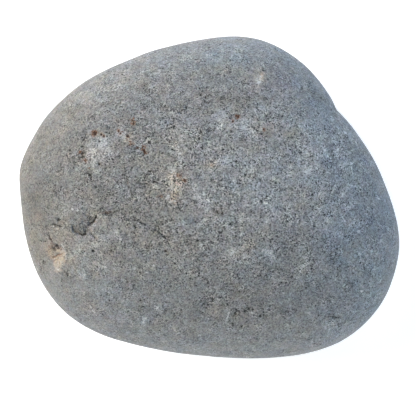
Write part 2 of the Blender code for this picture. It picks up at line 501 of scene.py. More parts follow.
# Single pale grains: (u, v, radius, strength).
WHITE = (
    (72.6, 209.3, 1.2, 0.85), (77.8, 210.3, 1.2, 0.85), (105.8, 143.6, 1.3, 0.80),
    (93.6, 153.2, 0.9, 0.55), (104.0, 157.2, 1.2, 0.75), (100.4, 139.6, 1.1, 0.60), (90.4, 149.0, 1.0, 0.55), (92.6, 157.4, 0.9, 0.5), (96.2, 148.6, 0.9, 0.5), (95.0, 160.6, 0.9, 0.5), (88.6, 145.8, 1.1, 0.56), (104.6, 140.4, 1.0, 0.65), (107.6, 146.8, 1.0, 0.56), (102.0, 148.4, 1.0, 0.56), (106.4, 159.6, 1.0, 0.56), (101.2, 161.0, 1.0, 0.56), (91.0, 163.4, 0.9, 0.45), (97.6, 154.0, 0.9, 0.5),
    (110.0, 151.0, 1.3, 0.56), (93.4, 165.8, 1.7, 0.56), (96.4, 172.4, 1.4, 0.47),
    (180.2, 153.6, 1.5, 0.75), (178.4, 147.0, 1.3, 0.56), (179.6, 140.4, 1.5, 0.47),
    (168.0, 195.8, 1.6, 0.85), (166.2, 198.6, 1.3, 0.66), (259.0, 82.2, 1.8, 0.85),
    (261.0, 76.0, 1.6, 0.56), (244.0, 127.4, 1.7, 0.66), (219.4, 120.2, 1.5, 0.56),
    (225.2, 134.8, 1.3, 0.66), (306.4, 172.0, 1.6, 0.94), (309.6, 171.0, 1.2, 0.66),
    (337.9, 149.2, 1.3, 0.94), (324.4, 150.8, 1.7, 0.75), (345.0, 132.8, 1.5, 0.75),
    (351.4, 163.6, 1.6, 0.75), (310.8, 144.4, 1.3, 0.47), (327.2, 172.2, 1.3, 0.56),
    (342.8, 194.4, 1.5, 0.66), (318.6, 208.6, 1.4, 0.66), (378.4, 198.6, 1.6, 0.56),
    (380.6, 240.6, 1.7, 0.56), (358.4, 231.4, 1.6, 0.56), (360.0, 254.4, 1.6, 0.56),
    (362.0, 291.4, 1.6, 0.56), (312.0, 224.4, 1.1, 0.75), (303.4, 266.0, 1.3, 0.66),
    (300.2, 271.6, 1.3, 0.56), (283.0, 293.0, 1.2, 0.56), (84.6, 274.8, 1.3, 0.65),
    (145.0, 318.8, 1.3, 0.70), (143.4, 322.6, 1.2, 0.60), (157.4, 307.4, 1.5, 0.56),
    (153.2, 265.2, 1.3, 0.85), (146.4, 272.4, 1.3, 0.56), (105.2, 266.8, 1.5, 0.66),
    (116.4, 232.6, 1.5, 0.66), (120.8, 239.6, 1.3, 0.66), (213.8, 287.4, 1.2, 0.50),
    (178.6, 333.4, 1.2, 0.55), (199.6, 335.0, 1.5, 0.56), (208.4, 318.8, 1.2, 0.60),
    (227.4, 317.4, 0.9, 0.75), (228.4, 313.4, 0.9, 0.66), (251.8, 312.2, 1.1, 0.85),
    (201.8, 244.8, 1.4, 0.75), (233.0, 252.4, 1.6, 0.75), (243.8, 257.8, 1.4, 0.66),
    (231.0, 255.8, 1.3, 0.47), (269.6, 252.8, 1.7, 0.66), (274.0, 256.6, 1.4, 0.56),
    (226.4, 162.4, 1.7, 0.66), (220.2, 156.4, 1.4, 0.56), (173.6, 206.6, 1.3, 0.47),
    (279.4, 219.4, 1.3, 0.66), (266.4, 222.0, 1.4, 0.56), (274.0, 203.6, 1.3, 0.47),
    (56.2, 229.0, 1.1, 0.65), (58.2, 269.6, 1.2, 0.66), (61.0, 266.2, 1.0, 0.47), (171.4, 172.4, 1.1, 0.66), (173.4, 169.0, 1.0, 0.47), (177.6, 190.4, 0.9, 0.56), (174.8, 200.8, 1.0, 0.56), (178.8, 187.0, 0.8, 0.47), (170.4, 190.0, 0.8, 0.47), (53.0, 226.4, 1.0, 0.47),
    (225.4, 68.6, 1.6, 0.47), (96.0, 197.0, 1.1, 0.38), (198.6, 197.0, 1.4, 0.47),
    # from here on clusters, in which only some of the grains are pale
    (95, 152, 10.0, 0.30), (95, 162, 6.0, 0.30), (102, 143, 9.0, 0.38), (107, 150, 4.0, 0.28), (102, 158, 5.0, 0.29),
    (122, 134, 4.5, 0.44), (178, 152, 5.0, 0.36), (180, 158, 3.5, 0.31), (173, 169, 4.5, 0.34), (173, 188, 6.5, 0.36),
    (168, 194, 4.5, 0.32), (181, 190, 4.0, 0.27), (198, 199, 6.0, 0.30), (190, 203, 4.0, 0.24), (175, 132, 5.0, 0.26),
    (184, 129, 4.0, 0.28), (220, 110, 4.0, 0.31), (221, 119, 4.5, 0.34), (219, 128, 3.5, 0.28), (244, 122, 5.0, 0.33),
    (247, 128, 4.0, 0.28), (255, 110, 4.0, 0.30), (272, 107, 4.0, 0.30), (225, 160, 5.5, 0.32), (208, 150, 4.0, 0.28),
    (210, 168, 4.0, 0.28), (235, 180, 3.5, 0.28), (259, 80, 4.5, 0.38), (308, 172, 5.5, 0.34), (305, 125, 4.5, 0.30),
    (325, 151, 4.0, 0.30), (337, 148, 3.5, 0.30), (345, 164, 5.5, 0.30), (345, 132, 3.5, 0.28), (311, 146, 4.5, 0.27),
    (329, 170, 4.0, 0.27), (343, 193, 5.0, 0.27), (243, 216, 4.5, 0.29), (266, 220, 4.5, 0.29), (275, 212, 4.5, 0.31),
    (232, 252, 5.0, 0.36), (245, 256, 5.0, 0.33), (265, 252, 5.0, 0.36), (272, 257, 4.5, 0.33), (302, 267, 5.0, 0.30),
    (115, 231, 5.0, 0.30), (95, 225, 4.0, 0.25), (97, 245, 4.5, 0.27), (60, 262, 5.0, 0.33), (62, 250, 4.0, 0.28),
    (65, 211, 6.0, 0.30), (95, 199, 4.0, 0.26), (139, 190, 4.5, 0.25), (173, 240, 5.0, 0.27), (152, 265, 3.5, 0.28),
    (101, 266, 4.0, 0.26), (84, 275, 3.5, 0.30), (157, 308, 4.0, 0.31), (144, 320, 4.5, 0.33), (217, 301, 3.5, 0.25),
    (208, 55, 4.5, 0.27), (224, 66, 5.0, 0.25), (240, 57, 3.5, 0.24), (379, 244, 4.0, 0.26), (361, 255, 4.0, 0.26),
)  # fmt: skip

# Single dark grains, and painted shade in the mouths of pits: (u, v, radius, strength).
DARK_GRAINS_AND_SHADE = (
    (82.4, 156.4, 1.8, 1.0), (89.6, 174.6, 1.5, 0.95), (91.6, 177.2, 1.2, 0.6),
    (81.9, 146.2, 1.7, 0.9), (83.5, 139.5, 1.8, 0.66), (69.6, 150.2, 1.3, 0.6),
    (105.8, 132.6, 2.0, 0.52), (108.6, 132.0, 1.9, 0.50), (90.0, 160.0, 1.3, 0.7), (99.4, 141.3, 1.3, 0.8),
    (98.8, 163.8, 1.3, 0.8), (114.0, 166.8, 1.3, 0.6), (150.0, 171.3, 1.7, 0.95),
    (154.4, 181.5, 1.7, 1.0), (173.8, 126.8, 1.9, 0.9), (186.3, 107.5, 1.6, 0.9),
    (200.5, 95.0, 1.3, 0.95), (103.2, 103.0, 2.0, 0.4), (130.6, 86.4, 1.7, 0.4),
    (92.9, 251.2, 1.5, 1.0), (230.4, 99.6, 1.2, 0.6), (236.4, 100.4, 1.3, 0.6), (233.8, 98.4, 1.1, 0.5),
    (201.9, 148.0, 1.5, 0.8), (220.0, 139.2, 1.4, 0.7), (293.0, 119.6, 1.4, 0.6),
    (324.8, 128.8, 1.3, 0.7), (236.2, 161.6, 1.5, 0.8), (245.6, 175.2, 1.3, 0.7),
    (240.8, 180.6, 1.4, 0.8), (276.0, 182.6, 1.5, 0.8), (312.6, 194.6, 1.6, 0.9),
    (318.6, 185.6, 1.3, 0.6), (261.2, 201.2, 1.5, 0.8), (226.2, 187.6, 1.4, 0.8),
    (217.5, 211.9, 1.5, 0.8), (220.0, 232.4, 1.6, 0.9), (197.6, 240.6, 1.8, 0.7),
    (203.8, 253.8, 2.0, 0.6), (186.6, 265.2, 1.4, 0.7), (165.6, 251.2, 1.5, 0.9),
    (280.4, 269.6, 1.5, 0.75), (331.9, 215.8, 1.4, 0.80), (345.6, 236.4, 1.5, 0.8),
    (337.2, 248.6, 1.4, 0.8), (325.6, 277.0, 1.5, 0.7), (324.2, 173.0, 1.8, 0.6),
    (286.2, 311.2, 1.3, 0.65), (235.3, 313.1, 2.1, 0.72), (238.6, 311.4, 1.7, 0.68),
    (245.0, 311.0, 1.8, 0.78), (248.6, 309.0, 1.7, 0.82), (252.6, 309.5, 1.5, 0.70), (260.0, 316.2, 1.6, 0.85),
    (241.5, 326.5, 1.6, 0.72), (244.6, 327.6, 1.2, 0.6), (247.0, 321.4, 1.3, 0.65), (232.5, 324.5, 2.0, 0.60), (200.6, 301.0, 1.6, 0.65),
    (203.6, 304.0, 1.4, 0.7), (208.0, 305.0, 1.4, 0.7), (210.6, 297.6, 1.3, 0.75), (212.6, 298.6, 1.3, 0.7), (222.0, 297.4, 1.4, 0.55), (226.0, 297.0, 1.4, 0.55), (239.6, 291.8, 1.3, 0.6), (253.0, 292.9, 1.3, 0.65), (48.4, 213.8, 1.2, 0.8),
    (58.6, 219.8, 2.1, 0.80), (49.2, 236.4, 1.3, 0.6), (67.0, 273.0, 1.8, 0.4),
    (128.8, 220.0, 1.3, 0.5), (134.4, 226.2, 1.4, 0.8), (166.6, 221.8, 1.6, 0.7),
    (126.4, 204.2, 1.3, 0.7), (86.6, 306.4, 1.4, 0.4), (103.4, 314.6, 1.6, 0.5),
    (333.4, 317.0, 1.5, 0.66), (338.6, 317.6, 1.2, 0.5), (325.6, 316.6, 1.2, 0.5), (196.0, 285.6, 1.3, 0.6),
    (127.9, 135.8, 1.4, 0.75), (81.2, 152.6, 1.3, 0.60), (53.2, 249.2, 1.4, 0.54), (51.8, 247.4, 1.3, 0.50), (57.8, 248.8, 1.5, 0.54), (58.9, 226.3, 1.3, 0.62), (56.0, 246.0, 1.6, 0.60), (58.8, 247.4, 1.3, 0.56), (55.2, 243.8, 1.2, 0.50), (60.2, 249.8, 1.2, 0.52), (133.4, 122.4, 1.4, 0.55), (144.4, 151.8, 1.2, 0.40),
    (101.4, 134.4, 1.5, 0.72), (103.8, 136.2, 1.5, 0.72), (148.8, 141.8, 1.8, 1.0), (200.7, 132.0, 1.5, 0.72), (208.8, 131.3, 1.9, 0.66),
    (264.2, 129.6, 1.6, 0.44), (222.5, 213.4, 1.5, 0.95), (132.0, 144.6, 1.4, 0.65), (120.4, 133.0, 1.1, 0.48), (122.4, 131.8, 1.1, 0.50),
    (159.2, 196.8, 1.6, 0.56), (44.2, 261.8, 2.0, 0.56), (233.0, 121.5, 1.4, 0.50), (133.0, 120.8, 1.4, 0.62), (133.4, 123.8, 1.2, 0.60), (217.4, 211.9, 1.2, 0.9),
    (120.4, 133.8, 1.0, 0.58), (122.4, 131.4, 1.0, 0.55), (143.6, 150.4, 1.0, 0.70), (145.4, 152.8, 1.0, 0.62), (137.4, 147.9, 1.0, 0.62), (133.8, 142.8, 1.0, 0.5), (82.0, 153.6, 1.6, 0.80), (80.6, 153.2, 1.2, 0.55), (79.0, 150.2, 1.1, 0.52), (83.4, 158.0, 1.1, 0.5), (101.8, 208.0, 1.3, 0.60), (124.4, 236.6, 1.4, 0.62), (119.3, 228.2, 1.4, 0.62), (121.6, 221.8, 1.3, 0.50), (68.2, 275.2, 1.6, 0.50), (85.6, 227.2, 1.2, 0.55),
    # from here on clusters, in which only some of the grains are dark
    (184, 108, 4.5, 0.37), (179, 112, 3.5, 0.28), (172, 126, 4.5, 0.35), (107, 132, 4.5, 0.30), (250, 97, 5.0, 0.27),
    (240, 99, 4.0, 0.26), (256, 91, 4.0, 0.24), (208, 131, 4.5, 0.28), (201, 150, 4.5, 0.28), (193, 145, 4.0, 0.25),
    (166, 150, 4.5, 0.27), (150, 171, 4.0, 0.26), (143, 183, 4.5, 0.27), (158, 197, 4.5, 0.28), (185, 200, 5.0, 0.31),
    (190, 206, 4.0, 0.27), (218, 212, 4.5, 0.31), (228, 204, 5.5, 0.31), (230, 188, 4.0, 0.28), (238, 160, 4.0, 0.27),
    (216, 155, 3.5, 0.25), (275, 157, 4.0, 0.28), (272, 167, 4.0, 0.25), (277, 185, 4.5, 0.27), (291, 196, 4.0, 0.28),
    (262, 200, 4.0, 0.27), (312, 194, 4.0, 0.28), (335, 198, 4.0, 0.26), (325, 172, 4.0, 0.28), (329, 160, 4.0, 0.26),
    (333, 146, 4.5, 0.26), (350, 151, 4.0, 0.23), (82, 148, 4.0, 0.33), (82, 156, 4.0, 0.34), (131, 147, 4.5, 0.32),
    (133, 121, 4.0, 0.30), (98, 190, 4.0, 0.26), (89, 176, 4.0, 0.28), (203, 255, 4.5, 0.31), (240, 255, 4.0, 0.28),
    (268, 268, 4.5, 0.31), (281, 270, 4.0, 0.28), (283, 246, 5.0, 0.28), (278, 236, 4.5, 0.26), (288, 256, 4.0, 0.25),
    (345, 236, 4.0, 0.28), (338, 246, 4.5, 0.27), (312, 262, 4.0, 0.26), (205, 301, 5.5, 0.32), (236, 313, 4.0, 0.30),
    (250, 309, 4.5, 0.28), (334, 317, 4.0, 0.34), (110, 212, 5.0, 0.29), (55, 248, 4.5, 0.34), (48, 233, 4.0, 0.28),
    (67, 274, 4.0, 0.28), (276, 204, 5.0, 0.26), (257, 299, 5.5, 0.26), (124, 146, 3.0, 0.28),
)  # fmt: skip

# Painted strokes: (kind, half-width, strength, points). The dark ones that follow the chipped hollow's edge, the crack
# and the grooves are painted shade; the pale ones on the hollow's lip are partly pale stone and partly a painted
# highlight.
STROKES = (
    ("dark_and_shade", 1.0, 0.44, ((105.4, 214.0), (107.0, 214.8), (108.6, 213.8))),
    ("dark_and_shade", 0.9, 0.40, ((109.6, 213.0), (112.4, 213.4), (115.0, 212.6), (117.0, 211.0))),
    ("dark_and_shade", 1.1, 0.50, ((121.5, 208.6), (121.9, 211.2), (121.5, 213.4))),
    ("dark_and_shade", 1.0, 0.44, ((127.6, 219.8), (129.0, 220.2))),
    ("dark_and_shade", 1.1, 0.50, ((134.4, 220.6), (138.2, 220.9))),
    ("dark_and_shade", 1.2, 0.60, ((139.4, 222.4), (142.2, 223.6), (145.0, 224.8))),
    ("dark_and_shade", 0.9, 0.50, ((153.6, 230.0), (156.0, 230.8))),
    ("dark_and_shade", 0.9, 0.46, ((147.2, 226.2), (149.8, 228.2))),
    ("dark_and_shade", 1.2, 0.48, ((157.4, 231.2), (159.8, 233.2), (162.6, 236.0), (166.2, 239.4))),
    ("dark_and_shade", 1.0, 0.46, ((167.4, 241.8), (169.0, 244.8), (170.2, 246.4))),
    ("dark_and_shade", 1.2, 0.66, ((134.4, 225.2), (135.5, 227.6))),
    ("dark_and_shade", 0.9, 0.44, ((192.8, 221.4), (196.0, 222.0), (199.8, 221.6))),
    ("dark_and_shade", 1.0, 0.42, ((186.4, 239.6), (189.0, 240.2), (192.6, 240.6))),
    ("dark_and_shade", 1.1, 0.42, ((199.0, 254.4), (202.6, 255.6), (206.0, 254.2))),
    ("dark_and_shade", 1.0, 0.42, ((215.6, 211.4), (218.4, 212.4), (221.0, 214.0), (224.0, 214.2))),
    ("dark_and_shade", 1.4, 0.52, ((95.6, 216.2), (94.7, 218.4), (93.5, 220.8), (92.3, 222.8), (91.2, 224.2))),
    ("dark_and_shade", 1.0, 0.40, ((88.2, 217.0), (89.0, 220.0))),
    ("dark_and_shade", 1.0, 0.42, ((85.2, 229.4), (84.4, 231.6), (84.8, 233.4))),
    ("dark_and_shade", 1.0, 0.50, ((91.2, 224.4), (89.2, 225.2), (87.2, 225.6))),
    ("dark_and_shade", 0.9, 0.32, ((74.6, 224.4), (77.6, 223.4), (81.2, 223.6), (84.4, 224.8))),
    ("dark_and_shade", 0.9, 0.42, ((74.2, 230.4), (75.8, 231.4))),
    ("dark_and_shade", 1.5, 0.54, ((80.6, 234.0), (82.0, 235.2), (84.0, 234.2))),
    ("dark_and_shade", 1.0, 0.36, ((73.8, 230.4), (75.0, 231.4))),
    ("dark_and_shade", 1.4, 0.46, ((73.6, 225.6), (72.8, 227.4), (73.4, 229.6))),
    ("dark_and_shade", 0.9, 0.38, ((84.8, 230.0), (85.6, 232.0), (85.0, 233.6))),
    ("dark_and_shade", 0.9, 0.40, ((90.4, 233.4), (92.4, 235.4), (94.4, 237.6))),
    ("dark_and_shade", 1.0, 0.34, ((53.6, 224.6), (56.0, 226.0), (58.8, 226.0))),
    ("dark_and_shade", 1.0, 0.42, ((88.0, 174.0), (89.6, 175.6), (91.2, 178.0))),
    ("dark_and_shade", 1.1, 0.38, ((48.4, 235.0), (49.4, 237.6), (50.6, 240.4))),
    ("dark_and_shade", 1.1, 0.38, ((45.6, 233.6), (47.2, 234.4), (48.4, 236.0))),
    ("rust", 0.9, 0.22, ((97.6, 212.6), (100.6, 212.4), (103.8, 212.8))),
    ("dark_and_shade", 1.0, 0.42, ((40.6, 240.8), (43.4, 241.8), (46.4, 241.2))),
    ("dark_and_shade", 1.1, 0.48, ((233.8, 313.6), (236.4, 312.2), (239.4, 311.4))),
    ("dark_and_shade", 1.0, 0.46, ((243.8, 311.6), (246.4, 310.2), (249.0, 309.0))),
    ("dark_and_shade", 1.0, 0.40, ((251.6, 309.2), (253.6, 310.2))),
    ("dark_and_shade", 1.0, 0.40, ((331.0, 316.8), (335.4, 317.2), (340.6, 317.8))),
    ("dark_and_shade", 0.8, 0.28, ((234.4, 315.6), (235.8, 318.8), (236.0, 321.6))),
    ("dark_and_shade", 0.8, 0.28, ((192.4, 100.2), (196.0, 98.4), (200.4, 95.2))),
    ("rust", 1.5, 0.33, ((51.6, 257.8), (54.0, 256.8), (56.8, 255.9), (60.6, 254.6))),
    ("dark_and_shade", 1.2, 0.28, ((52.0, 257.6), (54.0, 256.8), (56.0, 256.2))),
    ("rust", 1.2, 0.27, ((49.0, 235.2), (50.2, 238.2), (51.6, 240.6), (52.0, 243.6))),
    ("rust", 1.3, 0.33, ((51.8, 246.0), (53.0, 248.4), (54.8, 249.6))),
    ("rust", 1.8, 0.27, ((50.6, 247.6), (53.4, 249.0), (56.4, 247.6), (59.6, 248.6))),
    ("dark_and_shade", 1.0, 0.40, ((52.4, 248.6), (54.4, 249.8), (56.2, 248.8))),
    ("dark_and_shade", 1.0, 0.30, ((57.0, 245.4), (58.4, 247.4), (59.8, 249.4))),
    ("rust", 1.2, 0.24, ((53.4, 245.4), (55.2, 246.8))),
    ("rust", 0.9, 0.28, ((53.4, 261.4), (56.2, 259.8), (58.6, 259.8))),
    ("rust", 1.3, 0.34, ((79.6, 151.4), (81.6, 153.8), (82.6, 156.6), (83.4, 159.0))),
    ("rust", 1.0, 0.40, ((100.8, 133.6), (102.4, 134.6), (104.2, 136.2))),
    ("rust", 1.1, 0.56, ((130.6, 122.6), (133.0, 123.4), (134.4, 121.6))),
    ("rust", 1.0, 0.56, ((142.4, 147.2), (143.6, 146.2), (145.2, 147.6))),
    ("rust", 1.2, 0.64, ((142.6, 149.8), (144.2, 151.4), (145.8, 153.0))),
    ("rust", 0.9, 0.44, ((130.8, 143.4), (132.4, 144.6), (134.0, 143.4))),
    ("rust", 1.3, 0.36, ((177.4, 174.8), (179.4, 175.4), (181.0, 177.6))),
    ("rust", 1.4, 0.44, ((181.4, 179.6), (183.4, 180.6), (185.6, 181.2))),
    ("rust", 1.2, 0.40, ((156.8, 196.4), (159.6, 196.0), (163.2, 196.8))),
    ("rust", 0.8, 0.32, ((218.0, 210.4), (221.2, 213.0))),
    ("rust", 0.9, 0.20, ((104.8, 212.4), (108.0, 211.6), (111.4, 211.8))),
    ("pale", 0.7, 0.32, ((191.3, 101.3), (197.4, 98.6), (203.6, 95.4), (210.0, 93.1))),
    ("pale", 0.7, 0.38, ((251.3, 161.0), (251.0, 166.0), (251.4, 172.0))),
    ("pale", 0.9, 0.34, ((90.0, 306.0), (92.6, 310.6), (96.3, 315.0))),
    ("pale", 1.0, 0.32, ((305.0, 263.8), (301.6, 269.0), (298.8, 275.0))),
    ("pale", 0.8, 0.51, ((228.8, 312.3), (227.6, 316.4), (226.8, 320.0))),
    ("pale", 1.0, 0.36, ((349.0, 161.4), (351.4, 164.6), (354.0, 161.8))),
    ("pale", 0.9, 0.42, ((61.3, 244.6), (64.2, 248.8), (65.8, 253.6), (66.2, 259.0))),
    # This stroke and the next are partly pale stone and partly a painted highlight on the lips of the chipped hollow
    # and its groove.
    ("pale", 0.8, 0.34, ((97.8, 215.0), (96.0, 220.6), (92.4, 226.4))),
    ("pale", 0.8, 0.34, ((92.6, 230.0), (93.0, 233.0), (95.0, 236.0))),
    ("pale", 0.9, 0.38, ((168.6, 221.6), (166.0, 224.6), (160.4, 227.2))),
    ("pale", 1.3, 0.30, ((170.4, 242.4), (174.0, 240.8), (178.2, 240.6))),
    ("pale", 0.9, 0.38, ((58.0, 253.8), (60.6, 254.2), (62.6, 256.0))),
    ("pale", 0.8, 0.38, ((317.0, 298.6), (321.0, 300.4), (325.4, 302.0))),
    ("pale", 0.8, 0.30, ((99.6, 197.4), (98.0, 205.6), (93.6, 207.0), (89.2, 204.6), (88.6, 199.6), (92.0, 196.6), (96.4, 196.8))),
    ("pale", 0.7, 0.26, ((304.0, 310.6), (309.0, 313.6), (313.0, 318.0))),
)  # fmt: skip

# Cream and beige stone: (u, v, half-width, half-height, turn in degrees, amount). The two narrow patches on the chipped
# hollow's lip are partly its pinkish stone and partly a painted highlight.
CREAM_AND_HIGHLIGHT = (
    (57.6, 260.0, 6.6, 8.6, -12, 1.00), (61.6, 250.6, 3.8, 6.6, -25, 0.55), (58.4, 268.8, 4.4, 4.2, 0, 0.60),
    (50.0, 252.0, 4.0, 8.0, 0, 0.35), (57.6, 229.2, 4.6, 2.4, 0, 0.45), (61.6, 222.2, 3.2, 4.6, 0, 0.35),
    (54.6, 213.4, 6.4, 4.0, -10, 0.22), (95.6, 222.4, 2.0, 8.4, 28, 0.40), (91.6, 231.0, 1.8, 4.0, -20, 0.35),
    (176.4, 184.4, 6.2, 12.0, 0, 0.44), (172.6, 199.0, 5.0, 6.0, 0, 0.36), (259.4, 76.0, 5.6, 7.0, 0, 0.50),
    (211.4, 165.8, 4.6, 3.2, 0, 0.56), (129.6, 141.2, 4.2, 3.0, 0, 0.40), (120.4, 133.6, 4.2, 4.4, 0, 0.40),
    (180.6, 141.6, 3.4, 6.0, 0, 0.24), (288.0, 133.4, 8.0, 2.8, 0, 0.22), (246.0, 317.6, 4.6, 3.8, 0, 0.26),
    (237.4, 253.4, 9.0, 3.6, 0, 0.20), (86.0, 160.0, 2.6, 3.0, 0, 0.24), (192.6, 204.0, 1.8, 1.6, 0, 0.50),
    (181.4, 154.6, 2.6, 2.4, 0, 0.35), (94.0, 201.6, 4.6, 5.0, 0, 0.18), (217.6, 312.0, 5.0, 6.0, 0, 0.16),
    (37.0, 222.0, 5.0, 9.0, 0, 0.12), (222.4, 70.0, 4.0, 3.0, 0, 0.16),
)  # fmt: skip
